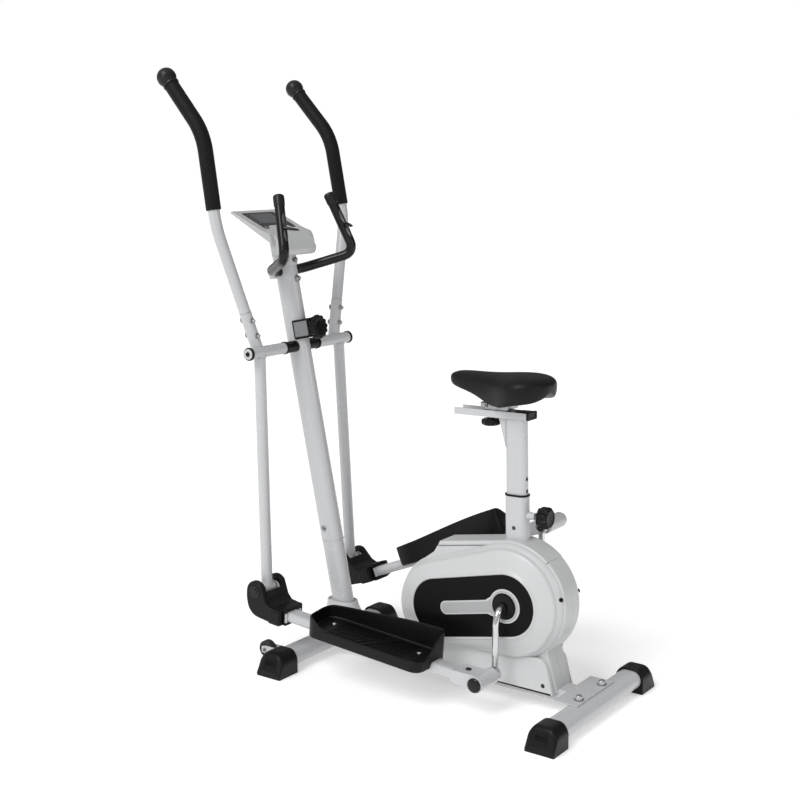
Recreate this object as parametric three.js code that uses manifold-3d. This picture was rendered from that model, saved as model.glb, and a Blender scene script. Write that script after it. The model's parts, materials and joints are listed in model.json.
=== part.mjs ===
// Elliptical trainer with a saddle: a flywheel-braked frame, two swinging handle arms, two foot rails
// on a one-piece crank, a fixed handlebar with a console, and a saddle on a sliding post.
//
// Millimetres. +X is the rider's right, +Y points from the saddle to the console, +Z is up, and the
// floor is Z = 0. Everything is laid out with Y counted from the rear edge of the rear feet. The finished
// group is then moved along Y so that the origin lies under the middle of the whole machine.

import * as THREE from 'three';
import { mergeVertices } from 'three/addons/utils/BufferGeometryUtils.js';
import Module from 'manifold-3d';

const wasm = await Module();
wasm.setup();

// ---- Driving dimensions ----

const GAP = 0.3;

const STABILIZER = { rearY: 37, frontY: 805, halfLength: 200, depth: 62, height: 44, middle: 33 };
const FOOT = { halfDepth: 37, inner: 184, outerRear: 250, outerFront: 255.6, height: 60 };
const WHEEL = { x: 165, y: 883, z: 33, radius: 22, width: 20 };
const BEAM = { width: 60, bottom: 28, top: 58 };

const LEAN = THREE.MathUtils.degToRad(11.8);
const POST = { width: 40, depth: 61, wall: 2.5, seamY: 799, seamZ: 300, length: 740 };
const AXLE = { y: 899, z: 797, radius: 8, halfLength: 193 };
const SLEEVE = { inner: 67.5, radius: 14.3 };
const BUSH = { inner: 21, outer: 67.2, radius: 14.6 };

const TUBE_RADIUS = 14.3;
const ARM_X = 158;
const ARM_LENGTH = 603.6;
const ARM_SET_BACK = 22.5;
const RAIL_LENGTH = 656;
const CRANK = { y: 240, z: 245, radius: 152, rod: 8, armX: 105, bossRadius: 14 };
const STUB_TOP = 100;
const GRIP_RADIUS = 18.4;
const BALL_RADIUS = 23.8;

const RAIL = { middle: 160, width: 50, thickness: 25, dip: THREE.MathUtils.degToRad(4.48) };
const PEDAL = {
  inner: 116, outer: 235, rear: 128, front: 474, wall: 4, floor: 16, toe: 47, heel: 75, low: 25,
};

const HUB_RADIUS = 28.5;
const DRIVE_X = 46;
const HUB_TUBE = 13;
const FLYWHEEL = { y: 430, z: 203, radius: 96, width: 30 };
const SHROUD = { rim: 56, skirt: 36, face: 75, wall: 3, rear: 145, front: 123, ridge: 12, bottom: 48 };

const SEAT_LEAN = THREE.MathUtils.degToRad(1.5);
const SEAT = { y: 245.5, z: 410, sleeveTop: 90, sleeveBottom: -136, pinZ: 41.5 };
const POST_HOLES = { pitch: 29, above: 3, below: 3, radius: 5.5 };

const BAR = { radius: 12.7, crossY: 950.6, crossZ: 985 };

const COLOUR = {
  white: 0xe4e5e7, grey: 0xc4c6c9, black: 0x16161a, steel: 0x9a9da2, chrome: 0xd8dade, screen: 0x3c4043,
};

// ---- Small helpers ----

const X = new THREE.Vector3(1, 0, 0);
const Y = new THREE.Vector3(0, 1, 0);
const Z = new THREE.Vector3(0, 0, 1);
const TURN = {
  x: new THREE.Matrix4().makeBasis(Y, Z, X),
  y: new THREE.Matrix4().makeBasis(X, Z, Y.clone().negate()),
  z: new THREE.Matrix4(),
};

const vec = (x, y, z) => new THREE.Vector3(x, y, z);
const at = (y, z) => new THREE.Vector2(y, z);
const polar = (centre, radius, angle) => at(
  centre.y + radius * Math.cos(angle), centre.z + radius * Math.sin(angle));
const radians = THREE.MathUtils.degToRad;

// Extrudes a shape along an axis. A shape's own axes are (Y, Z) for 'x', (X, Z) for 'y' and (X, Y) for 'z'.
function prism(axis, shape, from, to, curveSegments = 6) {
  const low = Math.min(from, to);
  const high = Math.max(from, to);
  const solid = new THREE.ExtrudeGeometry(shape, { depth: high - low, bevelEnabled: false, curveSegments });
  solid.applyMatrix4(TURN[axis]);
  if (axis === 'x') return solid.translate(low, 0, 0);
  if (axis === 'y') return solid.translate(0, high, 0);
  return solid.translate(0, 0, low);
}

function box(x0, x1, y0, y1, z0, z1) {
  const solid = new THREE.BoxGeometry(Math.abs(x1 - x0), y1 - y0, z1 - z0);
  return solid.translate((x0 + x1) / 2, (y0 + y1) / 2, (z0 + z1) / 2);
}

const polygon = (...points) => new THREE.Shape(points.map(([u, v]) => new THREE.Vector2(u, v)));

function circle(radius, u = 0, v = 0) {
  return new THREE.Shape().absarc(u, v, radius, 0, 2 * Math.PI, false);
}

function ring(outer, inner, u = 0, v = 0) {
  const shape = circle(outer, u, v);
  shape.holes.push(circle(inner, u, v));
  return shape;
}

// A section with two straight sides and two half-round ends, longer along v.
function flatOval(width, length, u = 0, v = 0) {
  const radius = width / 2;
  const reach = length / 2 - radius;
  const shape = new THREE.Shape();
  shape.absarc(u, v + reach, radius, 0, Math.PI, false);
  shape.absarc(u, v - reach, radius, Math.PI, 2 * Math.PI, false);
  return shape;
}

function lyingOval(width, height, u = 0, v = 0) {
  const radius = height / 2;
  const reach = width / 2 - radius;
  const shape = new THREE.Shape();
  shape.absarc(u + reach, v, radius, -Math.PI / 2, Math.PI / 2, false);
  shape.absarc(u - reach, v, radius, Math.PI / 2, 1.5 * Math.PI, false);
  return shape;
}

function roundedBox(width, height, radius, u = 0, v = 0) {
  const [a, b] = [width / 2 - radius, height / 2 - radius];
  const shape = new THREE.Shape();
  shape.absarc(u + a, v + b, radius, 0, Math.PI / 2, false);
  shape.absarc(u - a, v + b, radius, Math.PI / 2, Math.PI, false);
  shape.absarc(u - a, v - b, radius, Math.PI, 1.5 * Math.PI, false);
  shape.absarc(u + a, v - b, radius, 1.5 * Math.PI, 2 * Math.PI, false);
  return shape;
}

function hollow(shape, inner) {
  shape.holes.push(inner);
  return shape;
}

// Sweeps a shape along straight runs joined by round bends.
function sweep(points, shape, bend, steps) {
  const path = new THREE.CurvePath();
  let start = points[0];
  for (let i = 1; i < points.length - 1; i += 1) {
    const corner = points[i];
    const into = corner.clone().add(points[i - 1].clone().sub(corner).setLength(bend));
    const out = corner.clone().add(points[i + 1].clone().sub(corner).setLength(bend));
    path.add(new THREE.LineCurve3(start, into));
    path.add(new THREE.QuadraticBezierCurve3(into, corner, out));
    start = out;
  }
  path.add(new THREE.LineCurve3(start, points.at(-1)));
  return new THREE.ExtrudeGeometry(shape, { steps, extrudePath: path, curveSegments: 5 });
}

// A round bar between two points.
function bar(from, to, radius, sides = 12) {
  const along = to.clone().sub(from);
  const solid = new THREE.CylinderGeometry(radius, radius, along.length(), sides);
  solid.applyQuaternion(new THREE.Quaternion().setFromUnitVectors(Y, along.clone().normalize()));
  const middle = from.clone().add(to).multiplyScalar(0.5);
  return solid.translate(middle.x, middle.y, middle.z);
}

function toManifold(geometry) {
  const bare = geometry.clone();
  bare.deleteAttribute('normal');
  bare.deleteAttribute('uv');
  const merged = mergeVertices(bare, 1e-4);
  return new wasm.Manifold(new wasm.Mesh({
    numProp: 3,
    vertProperties: merged.attributes.position.array,
    triVerts: Uint32Array.from(merged.index.array),
  }));
}

function toGeometry(manifold) {
  const mesh = manifold.getMesh();
  const geometry = new THREE.BufferGeometry();
  geometry.setAttribute('position', new THREE.BufferAttribute(mesh.vertProperties, 3));
  geometry.setIndex(new THREE.BufferAttribute(mesh.triVerts, 1));
  return geometry;
}

const join = (...solids) => toGeometry(solids.map(toManifold).reduce((a, b) => a.add(b)));
const cut = (body, ...tools) => toGeometry(
  tools.map(toManifold).reduce((a, b) => a.subtract(b), toManifold(body)));
const meet = (body, tool) => toGeometry(toManifold(body).intersect(toManifold(tool)));

const machine = new THREE.Group();

function add(name, geometry, colour, roughness, metalness = 0, parent = machine) {
  const material = new THREE.MeshStandardMaterial({ color: colour, roughness, metalness });
  const mesh = new THREE.Mesh(geometry, material);
  mesh.name = name;
  parent.add(mesh);
}

const paint = (name, geometry, parent) => add(name, geometry, COLOUR.white, 0.35, 0, parent);
const plastic = (name, geometry, parent) => add(name, geometry, COLOUR.black, 0.55, 0, parent);
const metal = (name, geometry, parent) => add(name, geometry, COLOUR.steel, 0.35, 1, parent);

// ---- Linkage ----

// The pivot at the foot of a swing arm, found from the arm's length and the rail's length to the crank pin.
function footPivot(pin) {
  const armRadius = Math.hypot(ARM_LENGTH, ARM_SET_BACK);
  const across = pin.clone().sub(at(AXLE.y, AXLE.z));
  const span = across.length();
  const along = (armRadius ** 2 - RAIL_LENGTH ** 2 + span ** 2) / (2 * span);
  const side = Math.sqrt(armRadius ** 2 - along ** 2);
  const unit = across.divideScalar(span);
  return at(AXLE.y + unit.x * along - unit.y * side, AXLE.z + unit.y * along + unit.x * side);
}

// side is -1 on the rider's left, where the crank pin is at the bottom, and 1 on the right, where it
// is on top.
function linkage(side) {
  const pin = at(CRANK.y, CRANK.z + side * CRANK.radius);
  const pivot = footPivot(pin);
  const armTurn = Math.atan2(pivot.x - AXLE.y, AXLE.z - pivot.y) + Math.atan2(ARM_SET_BACK, ARM_LENGTH);
  const railTurn = Math.atan2(pivot.y - pin.y, pivot.x - pin.x) - RAIL.dip;
  return { pin, armTurn, railTurn };
}

const PIVOT_U = RAIL_LENGTH * Math.cos(RAIL.dip);
const PIVOT_V = RAIL_LENGTH * Math.sin(RAIL.dip);

// ---- Base frame ----

// A flat oval lying on its side, which the stabilizers and foot rails share.
function lyingBar(width, height, y, z, x0, x1) {
  return prism('x', lyingOval(width, height, y, z), x0, x1);
}

function wheelBracket(side) {
  const plate = polygon([STABILIZER.frontY, 24], [WHEEL.y - 4, 24], [WHEEL.y + 10, WHEEL.z - 8],
    [WHEEL.y + 10, WHEEL.z + 8], [WHEEL.y - 4, 44], [STABILIZER.frontY, 44]);
  const reach = WHEEL.width / 2;
  const middle = side * WHEEL.x;
  const left = prism('x', plate, middle - reach - 3.5, middle - reach - 0.7);
  const right = prism('x', plate, middle + reach + 0.7, middle + reach + 3.5);
  const pinEnds = [-1, 1].map((end) => vec(middle + end * (reach + 4), WHEEL.y, WHEEL.z));
  return join(left, right, bar(...pinEnds, 4, 8));
}

function buildStabilizers() {
  const oval = (y) => lyingBar(STABILIZER.depth, STABILIZER.height, y, STABILIZER.middle,
    -STABILIZER.halfLength, STABILIZER.halfLength);
  paint('rear_stabilizer', oval(STABILIZER.rearY));
  paint('front_stabilizer', join(oval(STABILIZER.frontY), wheelBracket(-1), wheelBracket(1)));
}

// An arched rubber shoe over a stabilizer's end, flat underneath, with a blind slot in its outer face.
function footCap(middleY, outer, side) {
  const reach = FOOT.halfDepth;
  const arch = new THREE.Shape();
  arch.moveTo(middleY - reach, 0);
  arch.lineTo(middleY + reach, 0);
  arch.lineTo(middleY + reach, 32);
  arch.quadraticCurveTo(middleY + reach - 4, FOOT.height, middleY, FOOT.height);
  arch.quadraticCurveTo(middleY - reach + 4, FOOT.height, middleY - reach, 32);
  arch.closePath();
  const block = prism('x', arch, side * FOOT.inner, side * outer, 4);
  const end = side * (outer + 1);
  const slope = prism('y', polygon([end, 40], [end, 70], [side * (outer - 34), 70]),
    middleY - reach - 1, middleY + reach + 1);
  const [width, height] = [STABILIZER.depth + 2 * GAP, STABILIZER.height + 2 * GAP];
  const socket = lyingBar(width, height, middleY, STABILIZER.middle,
    side * (FOOT.inner - 1), side * (STABILIZER.halfLength + GAP));
  const slot = box(side * (outer - 6), side * (outer + 1), middleY - 18, middleY + 18, 22, 36);
  return cut(block, slope, socket, slot);
}

function transportWheel(side) {
  const groove = WHEEL.width / 2;
  const shape = ring(WHEEL.radius, 4.4, WHEEL.y, WHEEL.z);
  return prism('x', shape, side * WHEEL.x - groove, side * WHEEL.x + groove);
}

function buildFeet() {
  for (const [name, side] of [['left', -1], ['right', 1]]) {
    plastic(`rear_foot_${name}`, footCap(STABILIZER.rearY, FOOT.outerRear, side));
    plastic(`front_foot_${name}`, footCap(STABILIZER.frontY, FOOT.outerFront, side));
    plastic(`transport_wheel_${name}`, transportWheel(side));
  }
}

// The bent plate that bolts the beam down on a stabilizer, with two domed nuts.
function saddlePlate(stabilizerY, inward, halfLength) {
  const reach = STABILIZER.depth / 2;
  const top = STABILIZER.middle + STABILIZER.height / 2;
  const far = stabilizerY - inward * 6;
  const near = stabilizerY + inward * (reach + 24);
  const plate = box(-halfLength, halfLength, Math.min(far, near), Math.max(far, near), top + GAP, top + 4);
  const nuts = [-1, 1].map((side) => bar(vec(side * 56, stabilizerY + inward * 8, top + 3),
    vec(side * 56, stabilizerY + inward * 8, top + 13), 8, 8));
  return join(plate, ...nuts);
}

function buildMainBeam() {
  const reach = STABILIZER.depth / 2 + 1;
  const middle = (BEAM.bottom + BEAM.top) / 2;
  const tube = prism('y', roundedBox(BEAM.width, BEAM.top - BEAM.bottom, 8, 0, middle),
    STABILIZER.rearY + reach, STABILIZER.frontY - reach, 3);
  const ear = polygon([FLYWHEEL.y - 45, 50], [FLYWHEEL.y + 45, 50], [FLYWHEEL.y + 16, FLYWHEEL.z + 16],
    [FLYWHEEL.y - 16, FLYWHEEL.z + 16]);
  const onAxle = (x) => vec(x, FLYWHEEL.y, FLYWHEEL.z);
  const ears = [[-1, 5.4], [1, HUB_TUBE + 0.5]].map(([side, hole]) => cut(
    prism('x', ear, side * 22, side * 26), bar(onAxle(side * 20), onAxle(side * 28), hole)));
  const plates = [saddlePlate(STABILIZER.rearY, 1, 90), saddlePlate(STABILIZER.frontY, -1, 60)];
  paint('main_beam', join(tube, ...ears, ...plates));
}

// ---- Front post ----

const post = new THREE.Group();
post.position.set(0, POST.seamY, POST.seamZ);
post.rotation.x = -LEAN;
machine.add(post);

function inPostFrame(geometry) {
  return geometry.translate(0, -POST.seamY, -POST.seamZ).rotateX(LEAN);
}

function leanIntoPlace(geometry) {
  return geometry.rotateX(-LEAN).translate(0, POST.seamY, POST.seamZ);
}

function buildPost() {
  const wall = 2 * POST.wall;
  const section = hollow(flatOval(POST.width, POST.depth), flatOval(POST.width - wall, POST.depth - wall));
  const through = (y, z, radius) => inPostFrame(bar(vec(-40, y, z), vec(40, y, z), radius));
  const axleHole = through(AXLE.y, AXLE.z, AXLE.radius + GAP + 0.1);
  const barHole = through(BAR.crossY, BAR.crossZ, BAR.radius + 0.7);
  paint('front_post', cut(prism('z', section, 0, POST.length), axleHole, barHole), post);

  const stubLength = 290;
  const stub = leanIntoPlace(prism('z', flatOval(POST.width - 1.4, POST.depth - 1.4), -stubLength, -GAP));
  const belowBeam = box(-60, 60, 600, 900, -50, BEAM.top + 1 + GAP);
  paint('post_stub', cut(stub, belowBeam));

  const skirt = prism('z', flatOval(76, 118, 0, 764), BEAM.top + 5, 112);
  const collar = join(skirt, prism('z', flatOval(58, 88, 0, 766), 111, 140));
  const clearance = leanIntoPlace(prism('z', flatOval(POST.width, POST.depth), -stubLength, 0));
  paint('post_boot', cut(collar, clearance));
}

function buildAxle() {
  const ends = AXLE.halfLength + 3;
  metal('pivot_axle', bar(vec(-ends, AXLE.y, AXLE.z), vec(ends, AXLE.y, AXLE.z), AXLE.radius));
  for (const [name, side] of [['left', -1], ['right', 1]]) {
    const shape = ring(BUSH.radius, AXLE.radius + 0.4, AXLE.y, AXLE.z);
    plastic(`axle_bush_${name}`, prism('x', shape, side * BUSH.inner, side * BUSH.outer));
  }
}

function buildTension() {
  const back = POST.depth / 2;
  const z = 546;
  const half = POST.width / 2;
  const block = box(-half - 3, half + 3, -back - 32, -back + 24, z - 23, z + 26);
  const hole = prism('z', flatOval(POST.width + 2 * GAP, POST.depth + 2 * GAP), z - 40, z + 40);
  const spindleBore = bar(vec(0, -back - 40, z), vec(0, -back, z), 6);
  plastic('tension_housing', cut(block, hole, spindleBore), post);

  const face = -back - 32;
  const ribs = new THREE.Shape();
  const lobes = 12;
  for (let i = 0; i <= lobes * 2; i += 1) {
    const radius = i % 2 ? 27 : 30.5;
    const angle = (i * Math.PI) / lobes;
    const [u, v] = [radius * Math.cos(angle), z + radius * Math.sin(angle)];
    if (i === 0) ribs.moveTo(u, v);
    else ribs.lineTo(u, v);
  }
  const cap = prism('y', ribs, face - 19, face - 0.5);
  const spindle = bar(vec(0, face - 4, z), vec(0, face + 18, z), 5);
  plastic('tension_knob', join(cap, spindle), post);
}

// ---- Fixed handlebar and console ----

function buildHandlebar() {
  const half = [vec(56.3, BAR.crossY, BAR.crossZ), vec(139.6, 828.3, 1029.7), vec(98.8, 880.8, 1178)];
  const mirrored = half.map((p) => vec(-p.x, p.y, p.z)).reverse();
  add('fixed_handlebar', sweep([...mirrored, ...half], circle(BAR.radius), 34, 34), COLOUR.black, 0.25);

  for (const [name, side] of [['left', -1], ['right', 1]]) {
    const low = vec(side * 131, 839.5, 1061);
    const high = vec(side * 112, 864, 1130);
    const offset = vec(side * 2, -8, -3);
    const plate = bar(low.clone().add(offset), high.clone().add(offset), BAR.radius - 1.4, 12);
    const tube = bar(vec(side * 139.6, 828.3, 1029.7), vec(side * 98.8, 880.8, 1178), BAR.radius + 0.45, 20);
    add(`pulse_grip_${name}`, cut(plate, tube), COLOUR.chrome, 0.2, 1);
  }
}

const SCREEN_TILT = Math.atan2(1137 - 1093, 1052 - 955);
// The display is a rectangle with a small lobe below each end; the key sits in the left one.
const DISPLAY = { halfWidth: 61, halfHeight: 38, lobeWidth: 21, lobeReach: 50 };
const KEY = { x: 50.5, y: 43, radius: 5 };

function buildConsole() {
  const wedge = polygon([1054, 1132], [1052, 1137], [955, 1093], [925, 1085], [915, 1056]);
  const chin = polygon([955, 1094], [934, 1090], [912, 1072], [897, 1046], [901, 1032], [910, 1027],
    [932, 1027], [938, 1070]);
  const neck = prism('z', flatOval(46, 66, 0, 954), 1018, 1060);
  const postSection = flatOval(POST.width + 2 * GAP, POST.depth + 2 * GAP);
  const postClear = leanIntoPlace(prism('z', postSection, 600, POST.length + GAP));
  const shell = join(prism('x', wedge, -85, 85), prism('x', chin, -71, 71), neck);

  const onFace = (solid) => solid.rotateX(SCREEN_TILT).translate(0, 1003.5, 1115);
  const display = (spare, low, high) => {
    const side = DISPLAY.halfWidth + spare;
    const lobeInner = DISPLAY.halfWidth - DISPLAY.lobeWidth - spare;
    const lobeLow = -DISPLAY.lobeReach - spare;
    const glass = box(-side, side, -DISPLAY.halfHeight - spare, DISPLAY.halfHeight + spare, low, high);
    const lobe = (start, end) => box(start, end, lobeLow, -DISPLAY.halfHeight + 1, low, high);
    return join(glass, lobe(-side, -lobeInner), lobe(lobeInner, side));
  };
  const key = (radius, low, high) => prism('z', circle(radius, -KEY.x, -KEY.y), low, high);
  const screenCut = onFace(display(GAP, -1.7, 6));
  const keyCut = onFace(key(KEY.radius + 2 * GAP, -4.5, 6));
  paint('console_housing', cut(shell, postClear, screenCut, keyCut));

  add('console_screen', cut(onFace(display(0, -1.4, 0.4)), keyCut), COLOUR.screen, 0.15);
  add('console_button', onFace(key(KEY.radius, -1.6, 1.6)), COLOUR.grey, 0.4);
}

// ---- Drive covers ----

const REAR_CENTRE = { y: CRANK.y, z: CRANK.z + 5 };
const FRONT_CENTRE = { y: FLYWHEEL.y, z: FLYWHEEL.z };
const SLOPE = radians(-10);
const SQUARE = SLOPE + Math.PI / 2;
const COVER_END = radians(131);

function arc(shape, centre, radius, from, to) {
  shape.absarc(centre.y, centre.z, radius, from, to, to < from);
}

// A loop of two round ends joined by straight runs, for the side face and its black panel.
function loop(rearRadius, frontRadius, rear = REAR_CENTRE, front = FRONT_CENTRE) {
  const slope = Math.atan2(front.z - rear.z, front.y - rear.y);
  const apart = Math.hypot(front.z - rear.z, front.y - rear.y);
  const tangent = Math.acos((rearRadius - frontRadius) / apart);
  const shape = new THREE.Shape();
  arc(shape, rear, rearRadius, slope - tangent + 2 * Math.PI, slope + tangent);
  arc(shape, front, frontRadius, slope + tangent, slope - tangent);
  return shape;
}

// The outline of the shell below the top cover. inset draws the same outline inside the wall.
function shellOutline(inset) {
  const shape = new THREE.Shape();
  const top = SHROUD.rear - SHROUD.ridge - inset;
  const ridgeEnd = polar(REAR_CENTRE, top, SQUARE);
  const bottom = SHROUD.bottom - inset;
  shape.moveTo(111 + inset, bottom);
  shape.lineTo(141 + inset, 145);
  arc(shape, REAR_CENTRE, SHROUD.rear - inset, radians(227), COVER_END);
  arc(shape, REAR_CENTRE, top, COVER_END, SQUARE);
  const run = 452 - inset - ridgeEnd.x;
  shape.lineTo(ridgeEnd.x + run, ridgeEnd.y + run * Math.tan(SLOPE));
  shape.lineTo(461 - inset, 332 - inset);
  arc(shape, FRONT_CENTRE, SHROUD.front - inset, radians(62), radians(-28));
  shape.lineTo(512 - inset, bottom);
  shape.closePath();
  return shape;
}

function buildShroud() {
  const inside = (outline, to) => ({ outline, to });
  const clearance = [inside(shellOutline(SHROUD.wall), SHROUD.skirt - SHROUD.wall),
    inside(loop(124, 106), SHROUD.rim - SHROUD.wall),
    inside(loop(107, 93), SHROUD.face - SHROUD.wall)];
  for (const [name, side] of [['left', -1], ['right', 1]]) {
    const from = side * 0.2;
    const layers = join(prism('x', shellOutline(0), from, side * SHROUD.skirt),
      prism('x', loop(130, 112), from, side * SHROUD.rim, 8),
      prism('x', loop(113, 99), from, side * SHROUD.face, 8));
    const hollows = clearance.map(({ outline, to }) => prism('x', outline, -side * 2, side * to));
    const hub = bar(vec(0, CRANK.y, CRANK.z), vec(side * 80, CRANK.y, CRANK.z), HUB_RADIUS + 1, 20);
    const seatGap = box(-side, side * 19.5, SEAT.y - 33, SEAT.y + 33, 370, 420);
    const beamGap = box(-side, side * (BEAM.width / 2 + 0.5), 60, 560, 0, BEAM.top + 0.5);
    paint(`shroud_${name}`, cut(layers, ...hollows, hub, seatGap, beamGap));

    const panel = cut(prism('x', loop(73, 70.5, { y: 231, z: 251 }, { y: 420, z: 208.5 }),
      side * (SHROUD.face + GAP), side * (SHROUD.face + 1.8), 8), hub);
    plastic(`side_panel_${name}`, panel);
    const disc = prism('x', ring(HUB_RADIUS, CRANK.rod + 1, CRANK.y, CRANK.z), side * 61, side * 67);
    plastic(`hub_disc_${name}`, disc);
  }
  paint('shroud_top_cover', topCover());
}

// The raised band that closes the shell from the saddle tube's front down to the back.
function topCover() {
  const outer = SHROUD.rear;
  const inner = SHROUD.rear - SHROUD.ridge + 0.5;
  const outerEnd = polar(REAR_CENTRE, outer, SQUARE);
  const innerEnd = polar(REAR_CENTRE, inner, SQUARE);
  const shape = new THREE.Shape();
  arc(shape, REAR_CENTRE, outer, COVER_END - 0.004, SQUARE);
  shape.lineTo(443, outerEnd.y + (443 - outerEnd.x) * Math.tan(SLOPE));
  shape.lineTo(449, innerEnd.y + (449 - innerEnd.x) * Math.tan(SLOPE));
  arc(shape, REAR_CENTRE, inner, SQUARE, COVER_END - 0.004);
  shape.closePath();
  const hole = prism('z', flatOval(38.5, 63, 0, SEAT.y - 0.5), 370, 430);
  return cut(prism('x', shape, -SHROUD.skirt, SHROUD.skirt, 8), hole);
}

// ---- Drive ----

function buildDrive() {
  const eye = (side) => bar(vec(side * 97, CRANK.y, CRANK.z + side * CRANK.radius),
    vec(side * 113, CRANK.y, CRANK.z + side * CRANK.radius), CRANK.bossRadius, 16);
  const rod = sweep([
    vec(-CRANK.armX, CRANK.y, CRANK.z - CRANK.radius), vec(-CRANK.armX + 2, CRANK.y, CRANK.z - 30),
    vec(-90, CRANK.y, CRANK.z), vec(90, CRANK.y, CRANK.z),
    vec(CRANK.armX - 2, CRANK.y, CRANK.z + 30), vec(CRANK.armX, CRANK.y, CRANK.z + CRANK.radius),
  ], circle(CRANK.rod), 14, 44);
  add('crank', join(rod, eye(-1), eye(1)), COLOUR.chrome, 0.12, 1);

  const pulleyShape = ring(94.4, CRANK.rod + 0.6, CRANK.y, CRANK.z);
  const pulley = prism('x', pulleyShape, DRIVE_X - 4, DRIVE_X + 4, 10);
  add('crank_pulley', pulley, COLOUR.black, 0.5);

  const small = 30;
  const half = FLYWHEEL.width / 2;
  const disc = prism('x', circle(FLYWHEEL.radius, FLYWHEEL.y, FLYWHEEL.z), -half, half, 10);
  const tube = bar(vec(half - 1, FLYWHEEL.y, FLYWHEEL.z), vec(DRIVE_X, FLYWHEEL.y, FLYWHEEL.z), HUB_TUBE);
  const driven = prism('x', circle(small - 0.4, FLYWHEEL.y, FLYWHEEL.z), DRIVE_X - 4, DRIVE_X + 4, 8);
  const onAxle = (x) => vec(x, FLYWHEEL.y, FLYWHEEL.z);
  const axleBore = bar(onAxle(-half - 2), onAxle(DRIVE_X + 6), 5.6, 10);
  add('flywheel', cut(join(disc, tube, driven), axleBore), COLOUR.steel, 0.35, 1);
  metal('flywheel_axle', bar(onAxle(-34), onAxle(56), 5, 10));

  const belt = (grow, reach) => prism('x', loop(96 + grow, small + 0.8 + grow, CRANK, FLYWHEEL),
    DRIVE_X - reach, DRIVE_X + reach);
  add('drive_belt', cut(belt(2.6, 3), belt(0, 5)), COLOUR.black, 0.7);

  const shoe = new THREE.Shape();
  const [from, to] = [radians(150), radians(215)];
  arc(shoe, FLYWHEEL, FLYWHEEL.radius + 13, from, to);
  arc(shoe, FLYWHEEL, FLYWHEEL.radius + 5, to, from);
  shoe.closePath();
  const lug = polygon([340, 148], [346, 132], [366, 80], [376, 84], [358, 130], [350, 150]);
  metal('magnet_bracket', join(prism('x', shoe, -11, 11, 5), prism('x', lug, -9, 9)));
}

// ---- Seat ----

const seatFrame = new THREE.Group();
seatFrame.position.set(0, SEAT.y, SEAT.z);
seatFrame.rotation.x = -SEAT_LEAN;
machine.add(seatFrame);

const SEAT_SECTION = { width: 30.4, depth: 54.4, wall: 2.4 };

function buildSeatTube() {
  const outer = prism('z', flatOval(36, 60), -SEAT.z + BEAM.top + 1.4, SEAT.sleeveTop);
  const inner = prism('z', flatOval(SEAT_SECTION.width + 0.8, SEAT_SECTION.depth + 0.8),
    SEAT.sleeveBottom, SEAT.sleeveTop + 1);
  const boss = bar(vec(0, -48, SEAT.pinZ), vec(0, -20, SEAT.pinZ), 9);
  const bossBore = bar(vec(0, -50, SEAT.pinZ), vec(0, -20, SEAT.pinZ), 5);
  const toSeat = (solid) => solid.translate(0, -SEAT.y, -SEAT.z).rotateX(SEAT_LEAN);
  const shell = toSeat(bar(vec(-34, CRANK.y, CRANK.z), vec(34, CRANK.y, CRANK.z), 22, 16));
  const bore = toSeat(bar(vec(-36, CRANK.y, CRANK.z), vec(36, CRANK.y, CRANK.z), CRANK.rod + 1));
  paint('seat_tube', cut(join(outer, boss, shell), inner, bossBore, bore), seatFrame);
}

function buildSeatPost() {
  const { width, depth, wall } = SEAT_SECTION;
  const section = hollow(flatOval(width, depth), flatOval(width - 2 * wall, depth - 2 * wall));
  const top = 270;
  const tube = prism('z', section, -75, top);
  const holes = [];
  for (let step = -POST_HOLES.below; step <= POST_HOLES.above; step += 1) {
    const z = SEAT.pinZ + step * POST_HOLES.pitch;
    holes.push(bar(vec(0, -depth / 2 - 2, z), vec(0, -depth / 2 + 6, z), POST_HOLES.radius, 10));
  }
  const [back, front] = [-depth / 2 + 3, depth / 2 - 3];
  const gusset = prism('x', polygon([front, 200], [front + 19, top + 2], [back, top + 2],
    [back, top - 6], [front, top - 8]), -11, 11);
  const channel = cut(box(-20, 20, -36, 160, top, top + 16),
    box(-17.5, 17.5, -40, 170, top + 3, top + 20), box(-5, 5, 30, 150, top - 5, top + 6));
  paint('seat_post', join(cut(tube, ...holes), gusset, channel), seatFrame);

  const shoe = box(-16.8, 16.8, 8, 92, top + 3.4, top + 14);
  const carriage = join(shoe, box(-14, 14, 20, 80, top + 13, top + 43));
  metal('saddle_carriage', carriage, seatFrame);

  const stem = bar(vec(0, 70, top - 6), vec(0, 70, top + 3.1), 4, 8);
  const button = prism('z', circle(23, 0, 70), top - 22, top - 5);
  plastic('saddle_lock_knob', join(stem, button), seatFrame);

  const pull = prism('y', circle(26, 0, SEAT.pinZ), -88, -56);
  const rod = bar(vec(0, -58, SEAT.pinZ), vec(0, -29, SEAT.pinZ), 4, 8);
  plastic('post_lock_knob', join(pull, rod), seatFrame);
}

// A plain closed cushion with the saddle's outline, crown and size.
function buildSaddle() {
  const outline = new THREE.Shape();
  outline.moveTo(0, 433);
  outline.bezierCurveTo(34, 433, 26, 360, 44, 318);
  outline.bezierCurveTo(56, 284, 83, 262, 83, 218);
  outline.bezierCurveTo(83, 178, 50, 157, 0, 157);
  outline.bezierCurveTo(-50, 157, -83, 178, -83, 218);
  outline.bezierCurveTo(-83, 262, -56, 284, -44, 318);
  outline.bezierCurveTo(-26, 360, -34, 433, 0, 433);
  const profile = polygon([150, 732], [240, 716], [330, 715], [440, 738], [440, 760], [415, 780],
    [330, 782], [210, 786], [172, 780], [150, 762]);
  const cushion = meet(prism('z', outline, 700, 800, 5), prism('x', profile, -100, 100));
  const socket = box(-15, 15, 255, 345, 700, 725);
  plastic('saddle', cut(cushion, socket));
}

// ---- Swing arms ----

function sleeveBore(radius, from, to) {
  return bar(vec(from, 0, 0), vec(to, 0, 0), radius, 12);
}

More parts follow.
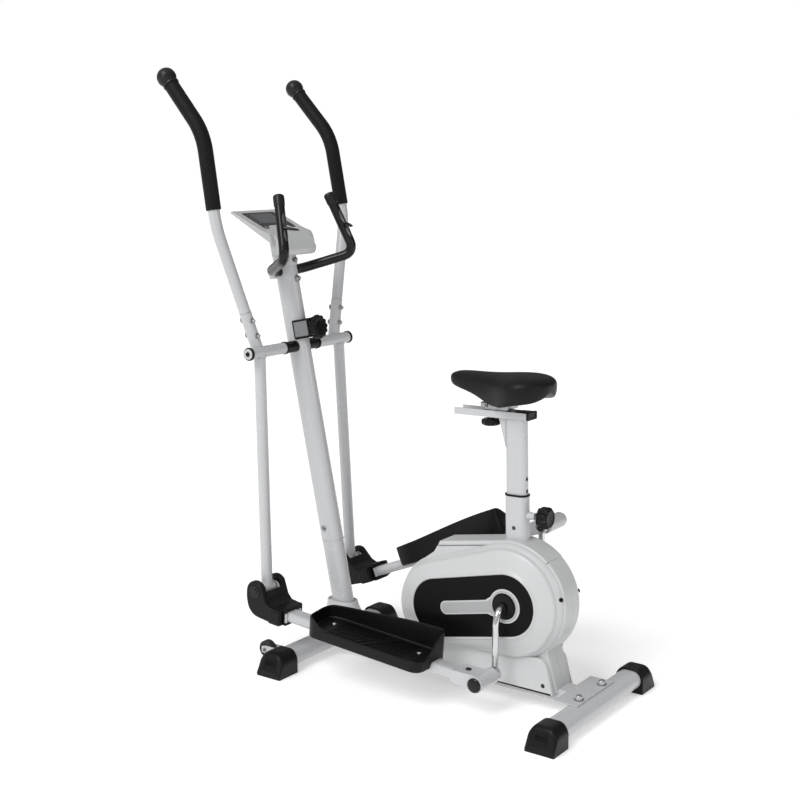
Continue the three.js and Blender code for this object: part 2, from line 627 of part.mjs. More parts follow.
function buildArm(name, side, turn) {
  const arm = new THREE.Group();
  arm.position.set(0, AXLE.y, AXLE.z);
  arm.rotation.x = turn;
  machine.add(arm);

  const stubLine = (z) => vec(side * (150.6 + 0.343 * z), 10.9 + 0.126 * z, z);
  const foot = vec(side * ARM_X, -ARM_SET_BACK, -ARM_LENGTH);
  const sleeve = bar(vec(side * SLEEVE.inner, 0, 0), vec(side * AXLE.halfLength, 0, 0), SLEEVE.radius, 16);
  const lower = bar(vec(side * ARM_X, 0, 0), foot, TUBE_RADIUS);
  const stub = bar(stubLine(-4), stubLine(STUB_TOP), TUBE_RADIUS + 0.8);
  const eye = bar(vec(side * 141, foot.y, foot.z), vec(side * 179, foot.y, foot.z), 16, 16);
  const bore = bar(vec(side * 130, foot.y, foot.z), vec(side * 190, foot.y, foot.z), 5.8, 10);
  const axleBore = sleeveBore(8.6, side * 60, side * 200);
  paint(`swing_arm_${name}`, cut(join(sleeve, lower, stub, eye), axleBore, bore), arm);

  const knee = vec(side * 257, 50, 310);
  const route = [stubLine(STUB_TOP + GAP), knee, vec(side * 257, 89, 530), vec(side * 256, 195, 646)];
  paint(`handle_tube_${name}`, sweep(route, circle(TUBE_RADIUS), 40, 26), arm);

  const gripRoute = [vec(side * 257, 57.1, 350), vec(side * 257, 89, 530), vec(side * 256, 194, 645)];
  plastic(`foam_grip_${name}`, sweep(gripRoute, ring(GRIP_RADIUS, TUBE_RADIUS + 1.9), 45, 13), arm);

  const ball = new THREE.SphereGeometry(BALL_RADIUS, 14, 10).translate(side * 256, 208, 661);
  const tubeEnd = bar(vec(side * 256, 160, 607), vec(side * 256, 197, 648.6), GRIP_RADIUS + 1);
  plastic(`ball_end_${name}`, cut(ball, tubeEnd), arm);

  const end = AXLE.halfLength;
  const cap = prism('x', ring(16.3, AXLE.radius + 0.4), side * (end + GAP), side * (end + 7));
  const bolt = prism('x', circle(9), side * (end + 6), side * (end + 12));
  plastic(`arm_end_cap_${name}`, join(cap, bolt), arm);
}

// ---- Foot rails and pedals, laid out along the rail from the crank pin (u forward, v up) ----

function pedalBlank() {
  const shape = new THREE.Shape();
  const corner = 26;
  shape.moveTo(PEDAL.inner, PEDAL.rear + 6);
  shape.lineTo(PEDAL.inner, PEDAL.front - 45);
  shape.quadraticCurveTo(PEDAL.inner + 4, PEDAL.front, PEDAL.inner + 42, PEDAL.front);
  shape.lineTo(PEDAL.outer - 30, PEDAL.front - 8);
  shape.quadraticCurveTo(PEDAL.outer, PEDAL.front - 14, PEDAL.outer, PEDAL.front - 40);
  shape.lineTo(PEDAL.outer, PEDAL.rear + corner);
  shape.quadraticCurveTo(PEDAL.outer, PEDAL.rear, PEDAL.outer - corner, PEDAL.rear);
  shape.lineTo(PEDAL.inner + 8, PEDAL.rear);
  shape.closePath();
  return shape;
}

function mirrorX(geometry) {
  const flipped = geometry.toNonIndexed().scale(-1, 1, 1);
  const position = flipped.attributes.position;
  const swap = vec(0, 0, 0);
  const other = vec(0, 0, 0);
  for (let i = 0; i < position.count; i += 3) {
    swap.fromBufferAttribute(position, i);
    other.fromBufferAttribute(position, i + 1);
    position.setXYZ(i, other.x, other.y, other.z);
    position.setXYZ(i + 1, swap.x, swap.y, swap.z);
  }
  flipped.deleteAttribute('normal');
  flipped.deleteAttribute('uv');
  return mergeVertices(flipped, 1e-4);
}

// A tray with a tall inner wall, a low outer wall, and end walls that slope between them.
function pedalTray() {
  const blank = prism('z', pedalBlank(), -2, PEDAL.heel + 3, 5);
  const inner = PEDAL.wall;
  const width = PEDAL.outer - PEDAL.inner;
  const length = PEDAL.front - PEDAL.rear;
  const cavity = prism('z', pedalBlank(), PEDAL.floor, PEDAL.heel + 10, 5);
  const middle = vec((PEDAL.inner + PEDAL.outer) / 2, (PEDAL.rear + PEDAL.front) / 2, 0);
  cavity.translate(-middle.x, -middle.y, 0).scale(1 - (2 * inner) / width, 1 - (2 * inner) / length, 1);
  cavity.translate(middle.x, middle.y, 0);
  const { rear, front, outer, low, toe, heel } = PEDAL;
  const overTop = prism('x', polygon([rear - 20, heel + 6], [rear - 20, 40], [rear + 14, heel],
    [front + 10, toe - 2], [front + 10, heel + 6]), 100, 250);
  const overOuter = prism('x', polygon([rear - 5, low], [front - 66, low], [front - 22, toe + 2],
    [front - 22, 100], [rear - 5, 100]), outer - 34, outer + 5);
  const overHeel = prism('y', polygon([outer, low], [outer - 34, low], [PEDAL.inner + 14, heel],
    [PEDAL.inner + 14, 100], [outer, 100]), rear - 10, rear + 40);
  const slotSection = roundedBox(RAIL.width + 2 * GAP, RAIL.thickness + 2 * GAP, 8, RAIL.middle, 0);
  const railSlot = prism('y', slotSection, rear - 20, front + 20, 3);
  return cut(blank, cavity, overTop, overOuter, overHeel, railSlot);
}

function railBody(side) {
  const left = RAIL.middle - RAIL.width / 2;
  const tube = prism('y', lyingOval(RAIL.width, RAIL.thickness, RAIL.middle, 0), 10, 606, 4);
  const wrapSide = polygon([0, 19], [62, 15.5], [70, 12], [70, -12], [62, -15.5], [0, -19]);
  const wrap = prism('x', wrapSide, 116, 192.5);
  const sleeve = bar(vec(116, 0, 0), vec(192.5, 0, 0), 19, 16);
  const bore = bar(vec(110, 0, 0), vec(200, 0, 0), 8.4);
  const cheek = polygon([560, -12], [612, -12], [PIVOT_U + 18, PIVOT_V - 8], [PIVOT_U + 14, PIVOT_V + 14],
    [PIVOT_U - 14, PIVOT_V + 14], [610, 14], [560, 12]);
  const inner = prism('x', cheek, left - 4, left + 2);
  const outer = prism('x', cheek, left + RAIL.width - 2, left + RAIL.width + 4);
  const pinEnds = [left - 4.5, left + RAIL.width + 4.5].map((x) => vec(x, PIVOT_U, PIVOT_V));
  const pin = bar(...pinEnds, 5, 10);
  const body = join(cut(join(tube, wrap, sleeve), bore), inner, outer, pin);
  return side > 0 ? body : mirrorX(body);
}

// Two cheeks either side of the pivot, joined by a collar round the rail.
function pivotCover() {
  const shape = new THREE.Shape();
  shape.moveTo(578, -20);
  shape.lineTo(640, -14);
  shape.quadraticCurveTo(PIVOT_U + 32, PIVOT_V - 62, PIVOT_U + 33, PIVOT_V - 4);
  shape.absarc(PIVOT_U, PIVOT_V, 32, radians(5), radians(150), false);
  shape.lineTo(608, 22);
  shape.lineTo(578, 20);
  shape.closePath();
  const cheeks = join(prism('x', shape, 112, 129, 4), prism('x', shape, 191, 207, 4));
  const collar = box(112, 207, 578, 604, -20, 20);
  const railClear = box(128.9, 191.1, 560, PIVOT_U + 60, -15, 120);
  return join(cheeks, cut(collar, railClear), box(112, 207, 578, 604, 15.4, 20));
}

function buildRail(name, side, pin, turn) {
  const rail = new THREE.Group();
  rail.position.set(0, pin.x, pin.y);
  rail.rotation.x = turn;
  machine.add(rail);
  const place = (geometry) => (side > 0 ? geometry : mirrorX(geometry));

  paint(`foot_rail_${name}`, railBody(side), rail);
  plastic(`pedal_${name}`, place(pedalTray()), rail);
  plastic(`pivot_cover_${name}`, place(pivotCover()), rail);
  const stem = prism('x', circle(8), 180, 194);
  const dome = prism('x', circle(17), 193, 200);
  plastic(`spindle_cap_${name}`, place(join(stem, dome)), rail);
}

// ---- Assembly ----

buildStabilizers();
buildFeet();
buildMainBeam();
buildPost();
buildAxle();
buildTension();
buildHandlebar();
buildConsole();
buildShroud();
buildDrive();
buildSeatTube();
buildSeatPost();
buildSaddle();
for (const [name, side] of [['left', -1], ['right', 1]]) {
  const { pin, armTurn, railTurn } = linkage(side);
  buildArm(name, side, armTurn);
  buildRail(name, side, pin, railTurn);
}

const extent = new THREE.Box3().setFromObject(machine, true);
machine.position.y = -(extent.min.y + extent.max.y) / 2;

export default machine;
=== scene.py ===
"""The looks of an elliptical trainer with a saddle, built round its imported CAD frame.

Shapes are laid out in millimetres in a few local spaces (machine, post, seat, arm and rail), which are
found from the frame's joints and boxes. X is the rider's right, Y points forward and Z is up.
"""

import json
import math

import bmesh
import bpy
from mathutils import Matrix, Vector
from mathutils.geometry import tessellate_polygon


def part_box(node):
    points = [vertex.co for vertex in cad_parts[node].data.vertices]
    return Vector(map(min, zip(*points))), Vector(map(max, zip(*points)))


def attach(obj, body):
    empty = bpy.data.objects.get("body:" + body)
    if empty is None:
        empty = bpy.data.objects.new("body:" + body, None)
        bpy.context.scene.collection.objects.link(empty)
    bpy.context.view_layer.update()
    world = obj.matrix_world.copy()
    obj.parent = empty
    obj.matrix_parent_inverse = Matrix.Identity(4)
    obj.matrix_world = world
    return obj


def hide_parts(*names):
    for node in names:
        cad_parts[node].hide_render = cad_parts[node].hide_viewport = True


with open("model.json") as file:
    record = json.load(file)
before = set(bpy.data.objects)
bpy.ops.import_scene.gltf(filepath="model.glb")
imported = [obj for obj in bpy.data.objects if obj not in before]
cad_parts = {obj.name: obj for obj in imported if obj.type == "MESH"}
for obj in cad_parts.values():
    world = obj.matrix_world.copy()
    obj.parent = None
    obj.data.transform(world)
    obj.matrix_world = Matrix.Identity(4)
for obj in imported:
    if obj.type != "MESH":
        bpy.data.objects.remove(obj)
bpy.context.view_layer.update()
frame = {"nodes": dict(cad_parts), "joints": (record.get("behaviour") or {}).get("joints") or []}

MM = 0.001
JOINT = {j["name"]: j for j in frame["joints"]}
SIDES = (("left", -1), ("right", 1))
ACROSS, BACK, UP = (1, 0, 0), (0, -1, 0), (0, 0, 1)

# ---- Spaces ----


def space(y, z, turn=0.0, side=1, x=0.0):
    """A place in millimetres, turned about X. side -1 mirrors it in X."""
    mirror = Matrix.Diagonal((side, 1, 1, 1))
    return (Matrix.Translation((x * MM * side, y * MM, z * MM)) @ Matrix.Rotation(turn, 4, "X")
            @ mirror @ Matrix.Scale(MM, 4))


def joint_yz(name):
    _, y, z = JOINT[name]["pos_m"]
    return Vector((y, z)) / MM


REAR_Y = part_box("rear_foot_left")[0].y / MM
MACHINE = space(REAR_Y, 0)
MACHINE_SIDE = {side: space(REAR_Y, 0, side=side) for _, side in SIDES}

# The front post.
POST_WIDTH, POST_DEPTH = 40.0, 61.0
knob_axis = JOINT["tension_turn"]["axis"]
LEAN = math.atan2(knob_axis[2], -knob_axis[1])
post_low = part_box("front_post")[0] / MM
POST_Y = post_low.y + POST_DEPTH / 2 * math.cos(LEAN)
POST_Z = post_low.z + POST_DEPTH / 2 * math.sin(LEAN)
POST = space(POST_Y, POST_Z, -LEAN)

# The saddle's post and sleeve.
seat_axis = JOINT["seat_height"]["axis"]
SEAT_LEAN = math.atan2(seat_axis[1], seat_axis[2])
KNOB_Y, KNOB_Z = 70.0, 250.0
knob_offset = Matrix.Rotation(-SEAT_LEAN, 2) @ Vector((KNOB_Y, KNOB_Z))
seat_origin = joint_yz("saddle_knob_turn") - knob_offset
SEAT = space(seat_origin.x, seat_origin.y, -SEAT_LEAN)
SEAT_TOP = 270.0
PIN_Z = 41.5

# The linkage.
ARM_X, ARM_LENGTH, ARM_SET_BACK = 158.0, 603.6, 22.5
RAIL_DIP = math.radians(4.48)
AXLE = joint_yz("arm_left_swing")
CRANK = joint_yz("crank_spin")
FLYWHEEL = joint_yz("flywheel_spin")
CRANK_BOSS = 14.0
CRANK_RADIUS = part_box("crank")[1].z / MM - CRANK_BOSS - CRANK.y


def arm_space(name, side):
    pivot = joint_yz(f"rail_{name}_pivot") - AXLE
    turn = math.atan2(pivot.x, -pivot.y) + math.atan2(ARM_SET_BACK, ARM_LENGTH)
    return space(AXLE.x, AXLE.y, turn, side)


def rail_space(name, side):
    pin = CRANK + Vector((0, side * CRANK_RADIUS))
    along = joint_yz(f"rail_{name}_pivot") - pin
    turn = math.atan2(along.y, along.x) - RAIL_DIP
    return space(pin.x, pin.y, turn, side), along.length


# ---- Finishes ----

FINISHES = {}


class Nodes:
    """A short way to write a node tree."""

    def __init__(self, name):
        self.material = bpy.data.materials.new(name)
        self.material.use_nodes = True
        self.tree = self.material.node_tree
        self.shader = self.tree.nodes["Principled BSDF"]
        self.place = self.make("TexCoord").outputs["Object"]

    def make(self, kind, **values):
        node = self.tree.nodes.new("ShaderNode" + kind)
        for key, value in values.items():
            setattr(node, key, value)
        return node

    def link(self, out, socket):
        self.tree.links.new(out, socket)

    def noise(self, scale, detail=3.0):
        node = self.make("TexNoise")
        node.inputs["Scale"].default_value = scale
        node.inputs["Detail"].default_value = detail
        self.link(self.place, node.inputs["Vector"])
        return node.outputs["Fac"]

    def cells(self, scale, feature="F1"):
        node = self.make("TexVoronoi", feature=feature)
        node.inputs["Scale"].default_value = scale
        self.link(self.place, node.inputs["Vector"])
        return node.outputs["Distance"]

    def ranged(self, value, low, high, start=0.3, end=0.7):
        node = self.make("MapRange")
        self.link(value, node.inputs["Value"])
        for key, number in (("From Min", start), ("From Max", end), ("To Min", low), ("To Max", high)):
            node.inputs[key].default_value = number
        return node.outputs["Result"]

    def mix(self, factor, a, b):
        node = self.make("Mix", data_type="RGBA")
        self.link(factor, node.inputs["Factor"])
        node.inputs["A"].default_value = (*a, 1)
        node.inputs["B"].default_value = (*b, 1)
        return node.outputs["Result"]

    def sum(self, a, b, share):
        node = self.make("Math", operation="MULTIPLY_ADD")
        self.link(b, node.inputs[0])
        node.inputs[1].default_value = share
        self.link(a, node.inputs[2])
        return node.outputs[0]

    def bump(self, height, strength, depth, after=None):
        node = self.make("Bump")
        node.inputs["Strength"].default_value = strength
        node.inputs["Distance"].default_value = depth
        self.link(height, node.inputs["Height"])
        if after:
            self.link(after, node.inputs["Normal"])
        self.link(node.outputs["Normal"], self.shader.inputs["Normal"])
        return node.outputs["Normal"]


def finish(slot, colour, rough, spread=0.05, metal=0.0, mottle=0.04, coat=0.0, specular=0.5):
    """A base finish with cloudy changes of colour and gloss. Returns its nodes for the grain."""
    nodes = Nodes("finish_" + slot)
    cloud = nodes.noise(9, 4)
    light = [min(1.0, c * (1 + mottle)) for c in colour]
    dark = [c * (1 - mottle) for c in colour]
    nodes.link(nodes.mix(cloud, dark, light), nodes.shader.inputs["Base Color"])
    smear = nodes.noise(60, 5)
    nodes.link(nodes.ranged(smear, rough - spread, rough + spread), nodes.shader.inputs["Roughness"])
    nodes.shader.inputs["Metallic"].default_value = metal
    nodes.shader.inputs["Coat Weight"].default_value = coat
    nodes.shader.inputs["Coat Roughness"].default_value = 0.08
    nodes.shader.inputs["Specular IOR Level"].default_value = specular
    FINISHES[slot] = nodes.material
    return nodes


def grain(nodes, scale, detail, strength, depth):
    """Fine relief from one noise. depth is in metres."""
    nodes.bump(nodes.noise(scale, detail), strength, depth)


# Slot, colour, roughness and its spread, the grain, then what else differs.
PLAIN_FINISHES = (
    ("white_paint", (0.50, 0.505, 0.515), 0.26, 0.02, (520, 2, 0.03, 0.0001), {"mottle": 0.015, "coat": 0.3}),
    ("white_plastic", (0.53, 0.535, 0.54), 0.30, 0.02, (900, 2, 0.02, 0.0001), {"mottle": 0.015}),
    ("grey_plastic", (0.36, 0.365, 0.37), 0.36, 0.05, (900, 2, 0.08, 0.0001), {"mottle": 0.03}),
    ("panel_black", (0.003, 0.003, 0.0035), 0.40, 0.05, (1400, 2, 0.10, 0.0001),
     {"mottle": 0.1, "specular": 0.12}),
    ("gloss_black", (0.004, 0.004, 0.0045), 0.24, 0.04, (300, 2, 0.04, 0.0002),
     {"mottle": 0.1, "coat": 0.05, "specular": 0.3}),
    ("ball_plastic", (0.006, 0.006, 0.0065), 0.36, 0.05, (1300, 3, 0.18, 0.0002),
     {"mottle": 0.15, "specular": 0.35}),
    ("wheel_rubber", (0.016, 0.016, 0.017), 0.60, 0.08, (1100, 3, 0.25, 0.0003), {"mottle": 0.2}),
    ("belt_rubber", (0.02, 0.02, 0.02), 0.70, 0.05, (700, 3, 0.25, 0.0003), {}),
    ("chrome", (0.62, 0.625, 0.63), 0.08, 0.03, (140, 2, 0.02, 0.0002), {"metal": 1.0, "mottle": 0.03}),
    ("sensor_chrome", (0.16, 0.163, 0.168), 0.22, 0.05, (500, 2, 0.05, 0.0001), {"metal": 1.0}),
    ("steel", (0.36, 0.365, 0.37), 0.28, 0.08, (900, 4, 0.12, 0.0002), {"metal": 1.0, "mottle": 0.08}),
    ("cast_iron", (0.30, 0.30, 0.31), 0.40, 0.08, (400, 4, 0.2, 0.0004), {"metal": 1.0, "mottle": 0.1}),
    ("screen", (0.020, 0.021, 0.022), 0.22, 0.03, (50, 1, 0.01, 0.0001), {"mottle": 0.1, "specular": 0.3}),
    ("screen_glass", (0.10, 0.105, 0.11), 0.20, 0.03, (60, 1, 0.01, 0.0001),
     {"mottle": 0.1, "specular": 0.3}),
    ("button_grey", (0.20, 0.20, 0.21), 0.40, 0.05, (1200, 2, 0.1, 0.0001), {}),
    ("plate_silver", (0.22, 0.223, 0.228), 0.30, 0.05, (300, 2, 0.05, 0.0001),
     {"metal": 0.6, "mottle": 0.08}),
)


def make_finishes():
    """Every material slot of the record, and a few more that stand in for one as a look."""
    for slot, colour, rough, spread, relief, extra in PLAIN_FINISHES:
        grain(finish(slot, colour, rough, spread, **extra), *relief)
    nodes = finish("black_plastic", (0.004, 0.004, 0.0045), 0.36, 0.06, mottle=0.15, specular=0.2)
    nodes.bump(nodes.sum(nodes.noise(1500, 3), nodes.cells(900), 0.5), 0.22, 0.0003)
    nodes = finish("foam", (0.004, 0.004, 0.0045), 0.52, 0.06, mottle=0.2, specular=0.18)
    nodes.bump(nodes.sum(nodes.cells(1100), nodes.noise(2400, 2), 0.6), 0.45, 0.0005)
    nodes = finish("saddle_cover", (0.0035, 0.0035, 0.004), 0.40, 0.06, mottle=0.2, specular=0.22)
    creases = nodes.cells(420, "DISTANCE_TO_EDGE")
    rounded_creases = nodes.ranged(creases, 0.0, 1.0, 0.0, 0.12)
    fine = nodes.bump(rounded_creases, 0.30, 0.0003)
    nodes.bump(nodes.noise(26, 3), 0.12, 0.0015, after=fine)


# ---- Mesh helpers ----


def piece(name, verts, faces, where, body, slot, look=None, angle=38.0, weighted=True):
    """A closed mesh in a space, with its finish, riding on a body."""
    mesh = bpy.data.meshes.new(name)
    mesh.from_pydata([where @ Vector(v) for v in verts], [], faces)
    work = bmesh.new()
    work.from_mesh(mesh)
    bmesh.ops.remove_doubles(work, verts=work.verts, dist=1e-7)
    bmesh.ops.recalc_face_normals(work, faces=work.faces)
    work.to_mesh(mesh)
    work.free()
    mesh.shade_smooth()
    mesh.set_sharp_from_angle(angle=math.radians(angle))
    mesh.materials.append(FINISHES[look or slot])
    made = bpy.data.objects.new(name, mesh)
    bpy.context.scene.collection.objects.link(made)
    if weighted:
        normals = made.modifiers.new("even_normals", "WEIGHTED_NORMAL")
        normals.keep_sharp = True
    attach(made, body)
    return made


def circle(radius, u=0.0, v=0.0, count=40):
    steps = [2 * math.pi * i / count for i in range(count)]
    return [(u + radius * math.cos(a), v + radius * math.sin(a)) for a in steps]


def capsule(width, length, u=0.0, v=0.0, count=14):
    """Straight sides and half-round ends, longer along v."""
    radius = width / 2
    reach = length / 2 - radius
    top = [math.pi * i / count for i in range(count + 1)]
    upper = [(u + radius * math.cos(a), v + reach + radius * math.sin(a)) for a in top]
    lower = [(u - radius * math.cos(a), v - reach - radius * math.sin(a)) for a in top]
    return upper + lower


def lying(outline):
    """The same outline turned to lie on its side."""
    return [(-v, u) for u, v in outline]


def rounded(points, radius=0.0, count=6):
    """A polygon with rounded corners. A third number in a point is that corner's own radius."""
    result = []
    for i, point in enumerate(points):
        corner = Vector(point[:2])
        before = Vector(points[i - 1][:2]) - corner
        after = Vector(points[(i + 1) % len(points)][:2]) - corner
        size = point[2] if len(point) > 2 else radius
        size = min(size, before.length * 0.49, after.length * 0.49)
        if size <= 0:
            result.append(tuple(corner))
            continue
        start = corner + before.normalized() * size
        end = corner + after.normalized() * size
        for k in range(count + 1):
            t = k / count
            spot = start * (1 - t) ** 2 + corner * 2 * t * (1 - t) + end * t ** 2
            result.append(tuple(spot))
    return result


def oblong(x0, x1, y0, y1, radius, upper=None, count=6):
    """A rectangle with rounded corners. Its two upper corners can have a radius of their own."""
    upper = radius if upper is None else upper
    return rounded([(x0, y0, radius), (x1, y0, radius), (x1, y1, upper), (x0, y1, upper)], count=count)


def offset(outline, inset):
    """A counter-clockwise outline moved inwards."""
    result = []
    for i, point in enumerate(outline):
        here = Vector(point)
        into = (here - Vector(outline[i - 1])).normalized()
        out = (Vector(outline[(i + 1) % len(outline)]) - here).normalized()
        n1, n2 = Vector((-into.y, into.x)), Vector((-out.y, out.x))
        result.append(tuple(here + (n1 + n2) * inset / max(0.35, 1 + n1.dot(n2))))
    return result


def counter_clockwise(outline):
    area = sum(a[0] * b[1] - b[0] * a[1] for a, b in zip(outline, outline[1:] + outline[:1]))
    return outline if area > 0 else outline[::-1]


PLACE = {"x": lambda u, v, w: (w, u, v), "y": lambda u, v, w: (u, w, v), "z": lambda u, v, w: (u, v, w)}


def edge_rings(low, high, bevel_low, bevel_high, steps=4):
    """(inset, height) pairs that round the two edges of a slab."""
    turns = [math.pi / 2 * i / steps for i in range(steps + 1)]
    start = [(bevel_low * (1 - math.sin(a)), low + bevel_low * (1 - math.cos(a))) for a in turns]
    end = [(bevel_high * (1 - math.sin(a)), high - bevel_high * (1 - math.cos(a))) for a in turns]
    return start + end[::-1]


def wall(first, count, levels):
    """The faces between stacked rings of count points each, counted from the vertex first."""
    faces = []
    for level in range(levels - 1):
        a, b = first + level * count, first + (level + 1) * count
        faces += [(a + i, a + (i + 1) % count, b + (i + 1) % count, b + i) for i in range(count)]
    return faces


def fill(rings):
    """Triangles that fill flat rings, the first one outside and the others as holes in it."""
    flat = [[Vector((u, v, 0)) for u, v, *_ in ring] for ring, _ in rings]
    index = [first + i for ring, first in rings for i in range(len(ring))]
    return [tuple(index[i] for i in tri) for tri in tessellate_polygon(flat)]


def slab(name, where, axis, outline, low, high, body, slot, bevel=1.0, bevel_low=None, holes=(), **extra):
    """An outline given thickness along an axis, with rounded edges and optional holes."""
    put = PLACE[axis]
    rings = edge_rings(low, high, bevel if bevel_low is None else bevel_low, bevel)
    loops = [(counter_clockwise(list(outline)), 1)]
    loops += [(counter_clockwise(list(hole)), -1) for hole in holes]
    verts, faces = [], []
    ends = {0: [], len(rings) - 1: []}
    for loop, sign in loops:
        count = len(loop)
        first = len(verts)
        for level, (inset, height) in enumerate(rings):
            moved = offset(loop, inset * sign) if inset else loop
            if level in ends:
                ends[level].append((moved, len(verts)))
            verts += [put(u, v, height) for u, v in moved]
        faces += wall(first, count, len(rings))
    for parts in ends.values():
        faces += fill(parts)
    return piece(name, verts, faces, where, body, slot, **extra)


def loft(name, rings, where, body, slot, **extra):
    """A piece drawn through rings of equal length, with flat ends."""
    count = len(rings[0])
    verts = [v for ring in rings for v in ring]
    last = (len(rings) - 1) * count
    faces = wall(0, count, len(rings)) + [tuple(range(count))[::-1], tuple(range(last, last + count))]
    return piece(name, verts, faces, where, body, slot, **extra)


def turned(name, where, centre, direction, profile, body, slot, count=40, lobes=0, depth=0.0, **extra):
    """A profile of (distance along, radius) pairs turned about an axis. Lobes ripple the rim."""
    centre, direction = Vector(centre), Vector(direction).normalized()
    side = direction.orthogonal().normalized()
    up = direction.cross(side)
    widest = max(radius for _, radius in profile)
    rings = []
    for along, radius in profile:
        ring = []
        for i in range(count):
            angle = 2 * math.pi * i / count
            ripple = 0.0
            if lobes and radius > widest * 0.8:
                ripple = depth * (0.5 + 0.5 * math.cos(lobes * angle)) ** 1.5
            reach = max(radius, 0.01) - ripple
            ring.append(centre + direction * along + (side * math.cos(angle) + up * math.sin(angle)) * reach)
        rings.append(ring)
    return loft(name, rings, where, body, slot, **extra)


def ring_profile(start, end, bore, radius, chamfer, drop=None):
    """The profile of a plain ring. Its outer edges are cut by chamfer along it and by drop inwards."""
    edge = radius - (chamfer if drop is None else drop)
    return [(start, bore), (start, edge), (start + chamfer, radius), (end - chamfer, radius), (end, edge),
            (end, bore)]


def bent(points, bend, steps=8):
    """A path of straight runs with a soft bend at each inner point."""
    points = [Vector(p) for p in points]
    path = [points[0]]
    for before, corner, after in zip(points, points[1:], points[2:]):
        into = corner + (before - corner).normalized() * bend
        out = corner + (after - corner).normalized() * bend
        for k in range(steps + 1):
            t = k / steps
            path.append(into * (1 - t) ** 2 + corner * 2 * t * (1 - t) + out * t ** 2)
    return path + [points[-1]]


def swept(name, where, path, section, body, slot, ends=0.8, upright=ACROSS, **extra):
    """A section carried along a path. Both ends are rounded off by the given amount."""
    path = [Vector(p) for p in path]
    widest = max(math.hypot(u, v) for u, v in section)
    tangents = []
    for i in range(len(path)):
        a, b = path[max(0, i - 1)], path[min(len(path) - 1, i + 1)]
        tangents.append((b - a).normalized())
    across = Vector(upright) - tangents[0] * Vector(upright).dot(tangents[0])
    across.normalize()
    stations = []
    for i, (spot, tangent) in enumerate(zip(path, tangents)):
        if i:
            across = tangents[i - 1].rotation_difference(tangent) @ across
        stations.append((spot, tangent, across.copy()))
    steps = 3
    turns = [math.pi / 2 * k / steps for k in range(steps + 1)]
    rounding = [(ends * (1 - math.cos(a)), 1 - ends * (1 - math.sin(a)) / widest) for a in turns]
    spot, tangent, side = stations[0]
    head = [(spot + tangent * d, tangent, side, s) for d, s in rounding]
    spot, tangent, side = stations[-1]
    tail = [(spot - tangent * d, tangent, side, s) for d, s in rounding[::-1]]
    middle = [(spot, tangent, side, 1.0) for spot, tangent, side in stations[1:-1]]
    rings = []
    for spot, tangent, side, scale in head + middle + tail:
        up = tangent.cross(side)
        rings.append([spot + (side * u + up * v) * scale for u, v in section])
    return loft(name, rings, where, body, slot, **extra)


def straight(start, end, count=2):
    start, end = Vector(start), Vector(end)
    return [start.lerp(end, i / (count - 1)) for i in range(count)]


def refined(node, body, slot, bevel=0.8):
    """A CAD node's own shape with its edges eased and its curved faces smooth."""
    mesh = frame["nodes"][node].data.copy()
    mesh.name = node + "_eased"
    work = bmesh.new()
    work.from_mesh(mesh)
    bmesh.ops.remove_doubles(work, verts=work.verts, dist=2e-5)
    bmesh.ops.dissolve_limit(work, angle_limit=math.radians(0.6), verts=work.verts, edges=work.edges)
    bmesh.ops.recalc_face_normals(work, faces=work.faces)
    work.to_mesh(mesh)
    work.free()
    for name in ("custom_normal", "sharp_face", "sharp_edge"):
        if name in mesh.attributes:
            mesh.attributes.remove(mesh.attributes[name])
    mesh.shade_smooth()
    mesh.set_sharp_from_angle(angle=math.radians(38))
    mesh.materials.clear()
    mesh.materials.append(FINISHES[slot])
    made = bpy.data.objects.new(mesh.name, mesh)
    bpy.context.scene.collection.objects.link(made)
    if bevel:
        eased = made.modifiers.new("eased_edges", "BEVEL")
        eased.width = bevel * MM
        eased.segments = 3
        eased.limit_method = "ANGLE"
        eased.angle_limit = math.radians(38)
        eased.use_clamp_overlap = True
    normals = made.modifiers.new("even_normals", "WEIGHTED_NORMAL")
    normals.keep_sharp = True
    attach(made, body)
    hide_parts(node)
    return made


def repaint(node, slot):
    """A kept CAD node with its finish."""
    mesh = frame["nodes"][node].data
    mesh.materials.clear()
    mesh.materials.append(FINISHES[slot])


# ---- Fasteners ----


def hex_bolt(name, where, centre, direction, size, body, look="steel"):
    """A washer with a hexagon head on it and a domed tip."""
    centre, direction = Vector(centre), Vector(direction).normalized()
    washer = [(0, size * 0.5), (0, size * 1.02), (size * 0.08, size * 1.08), (size * 0.2, size * 1.08),
              (size * 0.26, size * 1.0), (size * 0.26, size * 0.4)]
    turned(name + "_washer", where, centre, direction, washer, body, "steel", look=look)
    side = direction.orthogonal().normalized()
    up = direction.cross(side)
    rings = []
    for along, scale in ((0.2, 0.9), (0.2, 1.0), (0.75, 1.0), (0.9, 0.9)):
        ring = []
        for i in range(6):
            angle = math.pi / 3 * i
            ring.append(centre + direction * size * along
                        + (side * math.cos(angle) + up * math.sin(angle)) * size * 0.88 * scale)
        rings.append(ring)
    loft(name + "_head", rings, where, body, "steel", look=look)
    tip = [(size * 0.85, size * 0.5), (size * 1.15, size * 0.46), (size * 1.35, size * 0.3),
           (size * 1.42, 0.05)]
    turned(name + "_tip", where, centre, direction, tip, body, "steel", look=look, count=20)


def dome(name, where, centre, direction, radius, height, body, slot, look=None, rim=0.3):
    """A round head that rises from a short rim."""
    profile = [(0, radius * 0.5), (0, radius)]
    steps = 6
    for k in range(steps + 1):
        angle = math.pi / 2 * k / steps
        profile.append((height * (rim + (1 - rim) * math.sin(angle)), radius * math.cos(angle)))
    turned(name, where, centre, direction, profile, body, slot, look=look, count=32)


